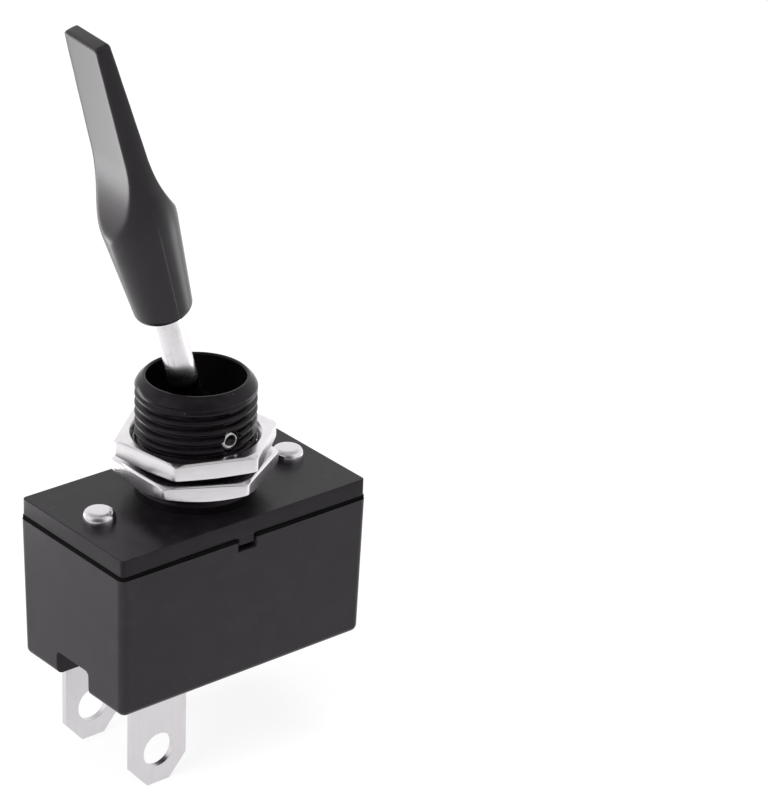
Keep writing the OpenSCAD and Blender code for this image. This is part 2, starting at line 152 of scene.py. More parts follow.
def soften(corners: np.ndarray, width: float | np.ndarray, steps: int = 4, ring: bool = False) -> np.ndarray:
    """Rounds the corners of a profile.

    Each corner c becomes the curve (1 - t)^2 a + 2 t (1 - t) c + t^2 b, where a and b lie on its two edges at
    the given width from it, or at 45 % of the edge where that is less.

    Args:
        corners: profile points, the first axis along the profile and the last axis the coordinates.
        width: how far a rounding reaches along each edge, one number or one for each corner.
        steps: how many parts each rounding has.
        ring: whether the profile closes on itself.

    Returns:
        The rounded profile, steps + 1 points for each corner.
    """
    corners = np.asarray(corners, float)

    def reach(edge: np.ndarray) -> np.ndarray:
        """Gives the part of an edge that a rounding uses."""
        length = np.linalg.norm(edge, axis=-1, keepdims=True)
        return edge / np.maximum(length, 1e-9) * np.minimum(width, 0.45 * length)

    start = corners + reach(np.roll(corners, 1, axis=0) - corners)
    end = corners + reach(np.roll(corners, -1, axis=0) - corners)
    t = np.linspace(0, 1, steps + 1).reshape((-1,) + (1,) * corners.ndim)
    arcs = np.moveaxis((1 - t) ** 2 * start + 2 * t * (1 - t) * corners + t**2 * end, 0, 1)
    if not ring:
        arcs[0], arcs[-1] = corners[0], corners[-1]
    return arcs.reshape((-1,) + corners.shape[1:])


def round_grid(r: np.ndarray, t: np.ndarray, z: np.ndarray) -> np.ndarray:
    """Gives the points (r cos t, r sin t, z) for radii, angles and heights that spread over one grid."""
    return np.stack(np.broadcast_arrays(r * np.cos(t), r * np.sin(t), z), axis=-1)


def raised(rings: np.ndarray, heights: np.ndarray) -> np.ndarray:
    """Lifts flat rings of x and y to one height each."""
    return np.concatenate([rings, np.broadcast_to(heights[:, None, None], rings.shape[:2] + (1,))], axis=-1)


def capped_shell(grid: np.ndarray) -> Shell:
    """Joins a grid into a shell, its first and last rows closed by a fan round their mean point."""
    poles = np.broadcast_to(grid.mean(axis=1, keepdims=True), grid.shape)
    return grid_shell(np.concatenate([poles[:1], grid, poles[-1:]]))


def revolve(profile: np.ndarray, steps: int = 96, ring: bool = False) -> Shell:
    """Turns a profile about Z: (r, z) becomes (r cos t, r sin t, z).

    Args:
        profile: rows of radius and height.
        steps: number of columns.
        ring: whether the profile closes on itself, as that of a washer does.

    Returns:
        The turned shell.
    """
    t = np.linspace(0, TURN, steps, endpoint=False)
    return grid_shell(round_grid(profile[:, :1], t, profile[:, 1:]), ring)


def rounded_outline(length: float, width: float, radius: float, arc: int = 8, edge: int = 10) -> np.ndarray:
    """Gives the outline of a rectangle with round corners, anticlockwise from the +X side.

    A corner is centre + radius (cos t, sin t); the sides between are split into equal parts.

    Args:
        length: size along X.
        width: size along Y.
        radius: corner radius.
        arc: parts of each corner.
        edge: parts of each side.

    Returns:
        Rows of x and y.
    """
    t = np.linspace(0, TURN / 4, arc + 1)
    quarter = np.arange(4)[:, None] * TURN / 4 + t
    middle = np.array([[1, 1], [-1, 1], [-1, -1], [1, -1]]) * [length / 2 - radius, width / 2 - radius]
    corners = middle[:, None] + radius * np.stack([np.cos(quarter), np.sin(quarter)], axis=-1)
    last, following = corners[:, -1], np.roll(corners[:, 0], -1, axis=0)
    share = np.linspace(0, 1, edge + 1)[1:-1, None]
    sides = last[:, None] * (1 - share) + following[:, None] * share
    return np.concatenate([corners, sides], axis=1).reshape(-1, 2)


def slab_shell(length: float, width: float, z0: float, z1: float, radius: float, edge: float) -> Shell:
    """Makes a block with round upright corners and softened edges.

    Each ring is the outline drawn in by d, where (d, z) follows the softened corner of the edge.

    Args:
        length: size along X.
        width: size along Y.
        z0: lowest height.
        z1: highest height.
        radius: radius of the upright corners.
        edge: rounding of the top and bottom edges.

    Returns:
        The block, centred on Z.
    """
    reach, least = 1.01 * edge, 0.05 * edge
    profile = soften([[reach, z0], [0, z0], [0, z1], [reach, z1]], edge, 3)
    rings = [rounded_outline(length - 2 * d, width - 2 * d, max(radius - d, least)) for d, _ in profile]
    return capped_shell(raised(np.array(rings), profile[:, 1]))


def make_piece(name: str, shells: list[Shell], sharp: float = 38.0) -> bpy.types.Object:
    """Writes shells into one mesh object, in metres, with its poles closed.

    Args:
        name: name of the object.
        shells: the closed surfaces that it has.
        sharp: angle in degrees above which an edge stays sharp.

    Returns:
        The object, in the scene.
    """
    counts = np.cumsum([0] + [len(s.points) for s in shells])
    points = np.concatenate([s.points for s in shells]) * MM
    faces = np.concatenate([s.faces + n for s, n in zip(shells, counts)])
    mesh = bpy.data.meshes.new(name)
    mesh.from_pydata(points.tolist(), [], faces.tolist())
    form = bmesh.new()
    form.from_mesh(mesh)
    bmesh.ops.remove_doubles(form, verts=form.verts, dist=WELD)
    form.to_mesh(mesh)
    form.free()
    return add_mesh(name, mesh, sharp)


def add_mesh(name: str, mesh: bpy.types.Mesh, sharp: float) -> bpy.types.Object:
    """Puts a mesh into the scene, smooth but for its sharp edges.

    Args:
        name: name of the object.
        mesh: its mesh.
        sharp: angle in degrees above which an edge stays sharp.

    Returns:
        The object.
    """
    mesh.shade_smooth()
    mesh.set_sharp_from_angle(angle=math.radians(sharp))
    piece = bpy.data.objects.new(name, mesh)
    bpy.context.scene.collection.objects.link(piece)
    return piece


def copy_of(node: str, name: str, edge: float, sharp: float = 30.0) -> bpy.types.Object:
    """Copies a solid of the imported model, merged, with softened edges.

    Faces that lie within CAD_FLAT of each other become one before the edges are softened.

    Args:
        node: name of the solid.
        name: name of the copy.
        edge: width of the softened edges.
        sharp: angle in degrees above which an edge is softened and stays sharp.

    Returns:
        The copy, in the scene.
    """
    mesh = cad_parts[node].data.copy()
    mesh.name = name
    mesh.materials.clear()
    form = bmesh.new()
    form.from_mesh(mesh)
    bmesh.ops.remove_doubles(form, verts=form.verts, dist=CAD_WELD)
    bmesh.ops.dissolve_limit(form, angle_limit=CAD_FLAT, verts=form.verts, edges=form.edges)
    form.to_mesh(mesh)
    form.free()
    piece = add_mesh(name, mesh, sharp)
    bevel = piece.modifiers.new("edges", "BEVEL")
    bevel.width = edge * MM
    bevel.segments = 2
    bevel.limit_method = "ANGLE"
    bevel.angle_limit = math.radians(sharp)
    bevel.use_clamp_overlap = True
    level = piece.modifiers.new("flats", "WEIGHTED_NORMAL")
    level.keep_sharp = True
    level.weight = 80
    return piece


def settle(piece: bpy.types.Object, material: bpy.types.Material, body: Body, slot: str, *nodes: str) -> None:
    """Gives a piece its material, and binds it to its body and its solids.

    Args:
        piece: the finished piece.
        material: what it is made of.
        body: the body that it moves with.
        slot: the record's material slot; not used.
        nodes: the solids that it replaces.
    """
    piece.data.materials.append(material)
    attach(piece, body.value)
    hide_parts(*nodes)
    LOG.info("%s: %d faces on %s, for %s", piece.name, len(piece.data.polygons), body.value, ", ".join(nodes))


class Board:
    """A node tree with short calls to add and join nodes."""

    def __init__(self, tree: bpy.types.NodeTree) -> None:
        """Takes the tree to write into."""
        self.tree = tree

    def add(self, kind: str, sockets: dict | None = None, **settings: object) -> bpy.types.Node:
        """Adds a node.

        Args:
            kind: node type without its ShaderNode prefix, or a whole type name.
            sockets: values or outputs for its inputs, by name or number.
            settings: properties of the node.

        Returns:
            The node.
        """
        whole = kind if kind.startswith("Node") else "ShaderNode" + kind
        node = self.tree.nodes.new(whole)
        for key, value in settings.items():
            setattr(node, key, value)
        for key, value in (sockets or {}).items():
            self.feed(node.inputs[key], value)
        return node

    def feed(self, socket: Socket, value: object) -> None:
        """Links an output to a socket, or writes a plain value into it.

        Args:
            socket: the input to feed.
            value: the output or the plain value.
        """
        if isinstance(value, Socket):
            self.tree.links.new(value, socket)
        else:
            socket.default_value = value

    def group(self, tree: bpy.types.NodeTree, **sockets: object) -> bpy.types.Node:
        """Places a shared group, its inputs given by name."""
        return self.add("Group", sockets, node_tree=tree)

    def math(self, kind: str, *values: object, clamp: bool = False) -> Socket:
        """Gives what a Math node of one kind makes of the values, held between 0 and 1 if clamp is true."""
        return self.add("Math", dict(enumerate(values)), operation=kind, use_clamp=clamp).outputs[0]

    def part(self, vector: object, axis: str) -> Socket:
        """Gives the X, Y or Z of a vector."""
        return self.add("SeparateXYZ", {0: vector}).outputs[axis]

    def dot(self, first: object, second: object) -> Socket:
        """Gives the dot product of two vectors."""
        return self.add("VectorMath", {0: first, 1: second}, operation="DOT_PRODUCT").outputs["Value"]

    def ramp(self, value: object, low: float, high: float, out0: float = 0.0, out1: float = 1.0) -> Socket:
        """Carries a value smoothly from out0 at low to out1 at high.

        Args:
            value: the value or output to carry.
            low: where the change starts.
            high: where it ends.
            out0: result below low.
            out1: result above high.

        Returns:
            The output.
        """
        sockets = {0: value, 1: low, 2: high, 3: out0, 4: out1}
        return self.add("MapRange", sockets, interpolation_type="SMOOTHSTEP", clamp=True).outputs[0]

    def noise(self, vector: object, scale: object, detail: float = 2.0, rough: float = 0.5) -> Socket:
        """Gives noise from 0 to 1.

        Args:
            vector: where it is read.
            scale: features per metre.
            detail: octaves.
            rough: weight of the finer octaves.

        Returns:
            The noise value.
        """
        sockets = {"Vector": vector, "Scale": scale, "Detail": detail, "Roughness": rough}
        return self.add("TexNoise", sockets).outputs[0]

    def blend(self, share: object, first: object, second: object) -> Socket:
        """Mixes two colours by a share.

        Args:
            share: how much of the second colour there is.
            first: the colour at a share of 0.
            second: the colour at a share of 1.

        Returns:
            The mixed colour.
        """
        node = self.add("Mix", data_type="RGBA")
        for key, value in (("Factor", share), ("A", first), ("B", second)):
            socket = [s for s in node.inputs if s.name == key and s.enabled][0]
            self.feed(socket, value)
        return [s for s in node.outputs if s.enabled][0]


def open_group(
    name: str, inputs: dict[str, float | None], outputs: list[str]
) -> tuple[bpy.types.NodeTree, Board, object, object]:
    """Opens a new shader group.

    Args:
        name: name of the group.
        inputs: its inputs with their plain values, None for a vector.
        outputs: names of its outputs, all of them values.

    Returns:
        The group's tree, its board, the sockets that give its inputs and those that take its outputs.
    """
    tree = bpy.data.node_groups.new(name, "ShaderNodeTree")
    for key, value in inputs.items():
        kind = "NodeSocketVector" if value is None else "NodeSocketFloat"
        socket = tree.interface.new_socket(key, in_out="INPUT", socket_type=kind)
        if value is not None:
            socket.default_value = value
    for key in outputs:
        tree.interface.new_socket(key, in_out="OUTPUT", socket_type="NodeSocketFloat")
    board = Board(tree)
    source = board.add("NodeGroupInput")
    ends = board.add("NodeGroupOutput")
    return tree, board, source.outputs, ends.inputs


class Effects:
    """Shader node groups that several finishes share, each built once. Scales are features per metre."""

    @cached_property
    def skin(self) -> bpy.types.NodeTree:
        """Gives the group for a moulded skin: roughness, height and a soft blotch mask.

        Roughness = Rough + Spread (wide - 0.5) + Spread (0.4 fine - 0.2); Height = 0.7 fine + 0.3 wide.

        Returns:
            The group's tree.
        """
        inputs = {"Vector": None, "Grain": 7000.0, "Rough": 0.4, "Spread": 0.1}
        tree, board, source, ends = open_group("mould_skin", inputs, ["Roughness", "Height", "Blotch"])
        fine = board.noise(source["Vector"], source["Grain"], detail=3.0, rough=0.55)
        wide = board.noise(source["Vector"], scale=330.0, detail=3.0, rough=0.6)
        spread = board.math("MULTIPLY", source["Spread"], board.math("SUBTRACT", wide, 0.5))
        small = board.math("MULTIPLY", source["Spread"], board.math("MULTIPLY_ADD", fine, 0.4, -0.2))
        board.feed(ends["Roughness"], board.math("ADD", source["Rough"], board.math("ADD", spread, small)))
        board.feed(ends["Height"], board.math("MULTIPLY_ADD", fine, 0.7, board.math("MULTIPLY", wide, 0.3)))
        board.feed(ends["Blotch"], board.ramp(wide, low=0.4, high=0.68))
        return tree

    @cached_property
    def lines(self) -> bpy.types.NodeTree:
        """Gives the group for drawn or brushed marks: noise read on stretched coordinates.

        Roughness = Rough + Spread (0.7 marks + 0.5 wide - 0.6).

        Returns:
            The group's tree, with the outputs Lines and Roughness.
        """
        inputs = {"Vector": None, "Stretch": None, "Scale": 5000.0, "Rough": 0.2, "Spread": 0.1}
        tree, board, source, ends = open_group("drawn_lines", inputs, ["Lines", "Roughness"])
        sockets = {0: source["Vector"], 1: source["Stretch"]}
        drawn = board.add("VectorMath", sockets, operation="MULTIPLY").outputs[0]
        marks = board.noise(drawn, source["Scale"], detail=4.0, rough=0.65)
        wide = board.noise(source["Vector"], scale=420.0)
        both = board.math("MULTIPLY_ADD", marks, 0.7, board.math("MULTIPLY_ADD", wide, 0.5, -0.6))
        board.feed(ends["Lines"], marks)
        board.feed(ends["Roughness"], board.math("MULTIPLY_ADD", both, source["Spread"], source["Rough"]))
        return tree

    @cached_property
    def edges(self) -> bpy.types.NodeTree:
        """Gives the group for worn edges: Gain (1 - rounded normal . true normal), broken up by noise.

        Returns:
            The group's tree, with the output Mask.
        """
        inputs = {"Vector": None, "Width": 0.00012, "Gain": 6.0}
        tree, board, source, ends = open_group("edge_wear", inputs, ["Mask"])
        rounded = board.add("Bevel", {"Radius": source["Width"]}, samples=4).outputs[0]
        along = board.dot(rounded, board.add("NewGeometry").outputs["True Normal"])
        worn = board.math("MULTIPLY", board.math("SUBTRACT", 1.0, along), source["Gain"])
        patchy = board.noise(source["Vector"], scale=1600.0, detail=3.0)
        broken = board.ramp(patchy, low=0.35, high=0.65, out0=0.35)
        board.feed(ends["Mask"], board.math("MULTIPLY", worn, broken, clamp=True))
        return tree

    @cached_property
    def dust(self) -> bpy.types.NodeTree:
        """Gives the group for fine dust: sparse specks and a thin film, more on faces that look up.

        Returns:
            The group's tree, with the output Mask.
        """
        tree, board, source, ends = open_group("fine_dust", {"Vector": None, "Amount": 1.0}, ["Mask"])
        where = source["Vector"]
        cells = board.add("TexVoronoi", {"Vector": where, "Scale": 1500.0, "Randomness": 1.0})
        reach = board.ramp(board.noise(where, scale=900.0), low=0.55, high=0.75, out1=0.16)
        speck = board.math("LESS_THAN", cells.outputs["Distance"], reach)
        thin = board.noise(where, scale=700.0, detail=4.0, rough=0.7)
        film = board.ramp(thin, low=0.45, high=0.8, out1=0.12)
        up = board.part(board.add("NewGeometry").outputs["Normal"], "Z")
        lying = board.ramp(up, low=-0.2, high=0.9, out0=0.25)
        both = board.math("MULTIPLY", board.math("ADD", speck, film), lying)
        board.feed(ends["Mask"], board.math("MULTIPLY", both, source["Amount"], clamp=True))
        return tree


EFFECTS = Effects()


@dataclass(frozen=True)
class Finish:
    """What all finishes have: a name, a colour, a roughness, and how they start a material."""

    name: str
    colour: tuple[float, float, float]
    roughness: float

    def open(self) -> tuple[Board, bpy.types.Node, Socket, bpy.types.Material]:
        """Starts the material.

        Returns:
            Its board, its shader, the object coordinates and the material.
        """
        material = bpy.data.materials.new(self.name)
        material.use_nodes = True
        board = Board(material.node_tree)
        shader = material.node_tree.nodes["Principled BSDF"]
        return board, shader, board.add("TexCoord").outputs["Object"], material

    def raise_skin(self, board: Board, shader: bpy.types.Node, relief: float, height: Socket) -> None:
        """Gives the shader a bump of a height whose value of one stands for relief millimetres."""
        bump = board.add("Bump", {"Strength": 1.0, "Distance": relief * MM, "Height": height})
        board.feed(shader.inputs["Normal"], bump.outputs[0])


@dataclass(frozen=True)
class Moulding(Finish):
    """Black or tinted moulded plastic with a fine skin, paler rubbed edges and a little dust."""

    spread: float = 0.08
    grain: float = 7000.0
    relief: float = 0.0015
    rubbed_and_seam_highlight: tuple[float, float, float] = (0.03, 0.03, 0.031)
    wear: float = 5.0
    dust: float = 0.5
    level: float = 0.5
    tint: float = 0.91
    seam: float = 0.0
    seam_w: tuple[float, float] = (0.03, 0.09)
    seam_top: tuple[float, float] = (22.0, 28.0)
    index: float = 1.52
    dust_colour: tuple[float, float, float] = (0.42, 0.41, 0.39)

    def ridge(self, board: Board, where: Socket) -> Socket:
        """Gives the low ridge that the two mould halves leave on the handle.

        It lies in the plane x = 0 of the upright lever, turned with the handle. Its height falls from 1 to 0
        between the two distances of seam_w from that plane, and between the two heights of seam_top.

        Args:
            board: the material's board.
            where: the object coordinates.

        Returns:
            The ridge's height.
        """
        centred = board.add("Mapping", {"Vector": where, "Location": (0.0, 0.0, -PIVOT_Z * MM)}).outputs[0]
        turn = (0.0, ROCK, -HANDLE_TURN)
        upright = board.add("Mapping", {"Vector": centred, "Rotation": turn}).outputs[0]
        away = board.math("ABSOLUTE", board.part(upright, "X"))
        across = board.ramp(away, *(w * MM for w in self.seam_w), out0=1.0, out1=0.0)
        along = board.ramp(board.part(upright, "Z"), *(h * MM for h in self.seam_top), out0=1.0, out1=0.0)
        return board.math("MULTIPLY", across, along)

    def build(self) -> bpy.types.Material:
        """Makes the material.

        The colour turns 15 % paler in blotches, then to the rubbed one on worn edges, by two fifths on the
        seam as a painted highlight along its ridge, and by 0.35 of the dust to the dust's.

        Returns:
            The material.
        """
        board, shader, where, material = self.open()
        sockets = {"Vector": where, "Grain": self.grain, "Rough": self.roughness, "Spread": self.spread}
        skin = board.group(EFFECTS.skin, **sockets).outputs
        worn = board.group(EFFECTS.edges, Vector=where, Gain=self.wear).outputs["Mask"]
        dust = board.group(EFFECTS.dust, Vector=where, Amount=self.dust).outputs["Mask"]
        paler = tuple(c * 1.15 + 0.0004 for c in self.colour)
        base = board.blend(skin["Blotch"], (*self.colour, 1.0), (*paler, 1.0))
        base = board.blend(worn, base, (*self.rubbed_and_seam_highlight, 1.0))
        base = board.blend(board.math("MULTIPLY", dust, 0.35), base, (*self.dust_colour, 1.0))
        height = skin["Height"]
        if self.seam:
            ridge = self.ridge(board, where)
            height = board.math("MULTIPLY_ADD", ridge, self.seam, height)
            # Two fifths of the way to a paler colour along the ridge: a painted highlight on the mould seam.
            base = board.blend(board.math("MULTIPLY", ridge, 0.4), base, (*self.rubbed_and_seam_highlight, 1.0))
        board.feed(shader.inputs["Base Color"], base)
        rough = board.math("ADD", skin["Roughness"], board.math("MULTIPLY", dust, 0.25))
        board.feed(shader.inputs["Roughness"], rough)
        self.raise_skin(board, shader, self.relief, height)
        shader.inputs["IOR"].default_value = self.index
        shader.inputs["Specular IOR Level"].default_value = self.level
        shader.inputs["Specular Tint"].default_value = (1.0, self.tint, 1.0, 1.0)
        return material


@dataclass(frozen=True)
class Plated(Finish):
    """Plated or bare metal with the marks of its making, duller hollows and a thin film of dust.

    painted_shade_below is the height above the pivot under which the lever is painted black, as shade where
    it sinks into the bushing's bore, and painted_shade_core the radius of the painted shade in the middle of
    the pin's end. Where they are None, the metal has neither.
    """

    lay: Lay = Lay.EVEN
    scale: float = 6000.0
    spread: float = 0.12
    relief: float = 0.0004
    tarnish: tuple[float, float, float] = (0.5, 0.47, 0.42)
    patches: float = 0.25
    dust: float = 0.3
    leaning: bool = False
    painted_shade_below: float | None = None
    painted_shade_core: float | None = None

    def foot(self, board: Board, along: Socket) -> tuple[Socket, Socket]:
        """Gives how much of the lever is painted black as shade inside the bushing's bore, and how much
        duller.

        The painted shade comes in between 0.4 mm above and 0.3 mm below the height painted_shade_below. From
        there down to 1.1 mm below it the roughness rises by 0.7, so that nothing shines in the bore.

        Args:
            board: the material's board.
            along: the coordinates turned with the lever.

        Returns:
            The share of painted shade and the rise of the roughness.
        """
        height = board.part(along, "Z")
        foot = PIVOT_Z * math.cos(ROCK) + self.painted_shade_below
        low, middle, high = (foot + step for step in (-1.1, -0.3, 0.4))
        bore_shade = board.ramp(height, middle * MM, high * MM, out0=1.0, out1=0.0)
        return bore_shade, board.ramp(height, low * MM, middle * MM, out0=0.7, out1=0.0)

    def dish_shade(self, board: Board, where: Socket) -> Socket:
        """Gives the painted shade in the middle of the pin's end, 0.1 mm off the pin's axis both ways, so
        that the rim left bright round it is thicker on one side, a painted crescent.

        Args:
            board: the material's board.
            where: the object coordinates.

        Returns:
            The share of painted shade: 1 up to the radius painted_shade_core, 0 from 0.1 mm beyond it.
        """
        away = (-0.1 * MM, 0.0, -(PIVOT_Z + 0.1) * MM)
        flat = board.add("Mapping", {"Vector": where, "Location": away, "Scale": (1.0, 0.0, 1.0)}).outputs[0]
        off = board.add("VectorMath", {0: flat}, operation="LENGTH").outputs["Value"]
        return board.ramp(off, self.painted_shade_core * MM, (self.painted_shade_core + 0.1) * MM, out0=1.0, out1=0.0)

    def build(self) -> bpy.types.Material:
        """Makes the material.

        The colour turns to the tarnish in clouds, by up to patches, and 28 % darker in up to 0.16 of the
        marks.

        Returns:
            The material.
        """
        board, shader, where, material = self.open()
        along = where
        if self.leaning:
            along = board.add("Mapping", {"Vector": where, "Rotation": (0.0, ROCK, 0.0)}).outputs[0]
        sockets = {"Vector": along, "Stretch": self.lay.value, "Scale": self.scale}
        marks = board.group(EFFECTS.lines, Rough=self.roughness, Spread=self.spread, **sockets).outputs
        dust = board.group(EFFECTS.dust, Vector=where, Amount=self.dust).outputs["Mask"]
        clouds = board.noise(where, scale=520.0, detail=4.0, rough=0.62)
        cloud = board.ramp(clouds, low=0.46, high=0.72, out1=self.patches)
        base = board.blend(cloud, (*self.colour, 1.0), (*self.tarnish, 1.0))
        streak = board.ramp(marks["Lines"], low=0.3, high=0.7, out1=0.16)
        base = board.blend(streak, base, tuple(c * 0.72 for c in self.colour) + (1.0,))
        rough = board.math("ADD", marks["Roughness"], board.math("MULTIPLY", dust, 0.2))
        # Painted shade: the lever turns black where it sinks into the bushing's bore.
        if self.painted_shade_below is not None:
            bore_shade, dull = self.foot(board, along)
            base = board.blend(bore_shade, base, (0.004, 0.004, 0.004, 1.0))
            rough = board.math("ADD", rough, dull)
        # Painted shade in the dish of the pin's end, set off its axis to leave a painted crescent of light on
        # the rim.
        if self.painted_shade_core is not None:
            base = board.blend(self.dish_shade(board, where), base, (0.03, 0.03, 0.03, 1.0))
        board.feed(shader.inputs["Base Color"], base)
        shader.inputs["Metallic"].default_value = 1.0
        board.feed(shader.inputs["Roughness"], board.math("MULTIPLY_ADD", cloud, 0.25, rough))
        self.raise_skin(board, shader, self.relief, marks["Lines"])
        return material


HOUSING_BLACK = Moulding(
    "housing_black", (0.013, 0.0112, 0.013), 0.32, spread=0.05, grain=6500.0, relief=0.0018,
    wear=3.0, dust=0.4, level=0.21,
)
COVER_BLACK = Moulding(
    "cover_black", (0.005, 0.0043, 0.005), 0.3, spread=0.05, grain=5200.0, relief=0.0005,
    wear=3.0, dust=0.3, level=0.2,
)
# Half the lid's colour on the neck, though both are one moulding: painted shade in the thread's grooves.
THREAD_SHADED_BLACK = Moulding(
    "thread_shaded_black", (0.0025, 0.002, 0.0025), 0.2, spread=0.08, grain=6000.0, relief=0.001,
    wear=1.5, dust=0.2, level=0.2,
)
HANDLE_BLACK = Moulding(
    "handle_black", (0.006, 0.0052, 0.006), 0.26, spread=0.035, grain=6500.0, relief=0.001,
    wear=2.0, dust=0.2, level=0.34, tint=0.94, seam=16.0,
)
# A black sheet, made darker still and almost without reflection: painted shadow in the joint between cover
# and housing.
GASKET_BLACK_AND_SHADOW = Moulding(
    "gasket_black_and_shadow", (0.002, 0.002, 0.002), 0.9, spread=0.1, grain=5000.0, relief=0.004,
    wear=0.0, dust=0.0, level=0.05,
)
PLUNGER_TAN = Moulding(
    "plunger_tan", (0.58, 0.52, 0.38), 0.45, spread=0.1, grain=6000.0, relief=0.002,
    rubbed_and_seam_highlight=(0.7, 0.66, 0.54), wear=2.0, dust=0.2,
)
NUT_NICKEL = Plated(
    "nut_nickel", (0.87, 0.845, 0.87), 0.22, Lay.LEVEL, 4200.0, spread=0.14, relief=0.0006, patches=0.08,
)
RIVET_NICKEL = Plated(
    "rivet_nickel", (0.78, 0.755, 0.78), 0.2, Lay.EVEN, 5200.0, spread=0.1, patches=0.04, dust=0.1,
)
PIN_STEEL = Plated(
    "pin_steel", (0.62, 0.6, 0.62), 0.25, Lay.EVEN, 7000.0, spread=0.2, relief=0.002, painted_shade_core=0.56,
)
LEVER_CHROME = Plated(
    "lever_chrome", (0.9, 0.875, 0.9), 0.2, Lay.UPRIGHT, 7000.0, spread=0.14, relief=0.0006,
    leaning=True, painted_shade_below=5.35,
)
TERMINAL_TIN = Plated(
    "terminal_tin", (0.72, 0.695, 0.72), 0.3, Lay.UPRIGHT, 8200.0, spread=0.16, relief=0.0006, patches=0.1,
)
SPRING_STEEL = Plated(
    "spring_steel", (0.55, 0.54, 0.52), 0.3, Lay.EVEN, 6000.0, spread=0.15, relief=0.0008,
)
ROLLER_BRONZE = Plated(
    "roller_bronze", (0.72, 0.52, 0.28), 0.25, Lay.ALONG_Y, 6000.0, spread=0.15, relief=0.0008,
    tarnish=(0.36, 0.24, 0.12),
)
CONTACT_SILVER = Plated(
    "contact_silver", (0.86, 0.85, 0.82), 0.3, Lay.EVEN, 6500.0, spread=0.15, relief=0.0012,
    tarnish=(0.35, 0.32, 0.28),
)


@dataclass
class HousingBox:
    """Moulded box that is open at the top, with the sheet that lies on its rim."""

    edge: float = 0.1
    sharp: float = 34.0
    sheet_edge: float = 0.05
    sheet_l: float = 29.9
    sheet_w: float = 16.9
    sheet_r: float = 0.9

    def cut_corners(self, mesh: bpy.types.Mesh) -> None:
        """Draws the sheet's upright corners in to the housing's rounder ones.

        A point p beyond a corner's centre c moves to c + min(1, r / |p - c|) (p - c).

        Args:
            mesh: the sheet's mesh, in metres.
        """
        flat = np.empty(len(mesh.vertices) * 3)
        mesh.vertices.foreach_get("co", flat)
        points = flat.reshape(-1, 3)
        centre = np.array([self.sheet_l / 2 - self.sheet_r, self.sheet_w / 2 - self.sheet_r]) * MM
        beyond = np.maximum(np.abs(points[:, :2]) - centre, 0)
        far = np.hypot(beyond[:, 0], beyond[:, 1])
        inward = np.minimum(1, self.sheet_r * MM / np.maximum(far, 1e-9))[:, None]
        held = np.sign(points[:, :2]) * (centre + beyond * inward)
        corner = (beyond > 0).all(axis=1)
        points[corner, :2] = held[corner]
        mesh.vertices.foreach_set("co", points.ravel())

    def build(self) -> None:
        """Makes both pieces and dresses them."""
        box = copy_of("housing", "housing_box", self.edge, self.sharp)
        settle(box, HOUSING_BLACK.build(), Body.HOUSED, "housing_plastic", "housing")
        sheet = copy_of("cover_gasket", "cover_sheet", self.sheet_edge)
        self.cut_corners(sheet.data)
        settle(sheet, GASKET_BLACK_AND_SHADOW.build(), Body.HOUSED, "gasket_sheet", "cover_gasket")


@dataclass
class CoverPlate:
    """Flat lid with its two tabs, and the ribs and posts under it.

    tab and rib are each a length, a width and a height.
    """

    length: float = 29.5
    width: float = 16.5
    thick: float = 1.8
    corner: float = 0.4
    least_corner: float = 0.06
    edge: float = 0.1
    hole: float = 5.25
    tab: tuple[float, float, float] = (1.9, 0.9, 0.8)
    rib_y: float = 6.25
    rib: tuple[float, float, float] = (25.4, 1.0, 0.9)
    post_x: float = 11.5
    post_r: float = 2.0
    post_h: float = 0.35
    post_edge: float = 0.05
    root: float = 0.1
    part_corner: float = 0.1
    part_edge: float = 0.08

    def lid(self) -> Shell:
        """Makes the lid as a ring of profiles from the bushing's hole out to the edge and back.

        The edge follows the outline, drawn in by d, where (d, z) rounds the corner, less at the bottom. The
        flat parts run straight to the point of the hole at the same polar angle.

        Returns:
            The lid.
        """
        reach = 2 * self.edge
        rounding = self.edge * np.array([[1.0], [0.5], [1.0], [1.0]])
        edge = soften([[reach, -self.thick], [0, -self.thick], [0, 0], [reach, 0]], rounding, 5)
        rim = np.array([
            rounded_outline(self.length - 2 * d, self.width - 2 * d, max(self.corner - d, self.least_corner),
                            arc=10, edge=36)
            for d, _ in edge
        ])
        turn = np.arctan2(rim[0, :, 1], rim[0, :, 0])
        hole = self.hole * np.stack([np.cos(turn), np.sin(turn)], axis=-1)
        levels = np.concatenate([[-self.thick], edge[:, 1], [0.0]])
        return grid_shell(raised(np.concatenate([hole[None], rim, hole[None]]), levels), ring=True)

    def under(self, size: tuple[float, float, float]) -> Shell:
        """Makes a block that hangs from the middle of the lid.

        Args:
            size: its length, width and height.

        Returns:
            The block.
        """
        length, width, height = size
        low, high = -self.thick - height, self.root - self.thick
        return slab_shell(length, width, low, high, self.part_corner, self.part_edge)

    def post(self) -> Shell:
        """Makes the round post for a rivet, in the middle of the lid.

        Returns:
            The post.
        """
        low, high = -self.thick - self.post_h, self.root - self.thick
        profile = soften([[0, low], [self.post_r, low], [self.post_r, high], [0, high]], self.post_edge)
        return revolve(profile, 48)

    def build(self) -> None:
        """Makes the piece and dresses it."""
        shells = [self.lid()]
        for side in (-1, 1):
            shells.append(self.under(self.tab).moved(y=side * (self.width - self.tab[1]) / 2))
            shells.append(self.under(self.rib).moved(y=side * self.rib_y))
            shells.append(self.post().moved(x=side * self.post_x))
        settle(make_piece("cover_plate", shells), COVER_BLACK.build(), Body.HOUSED, "cover_plastic", "cover")


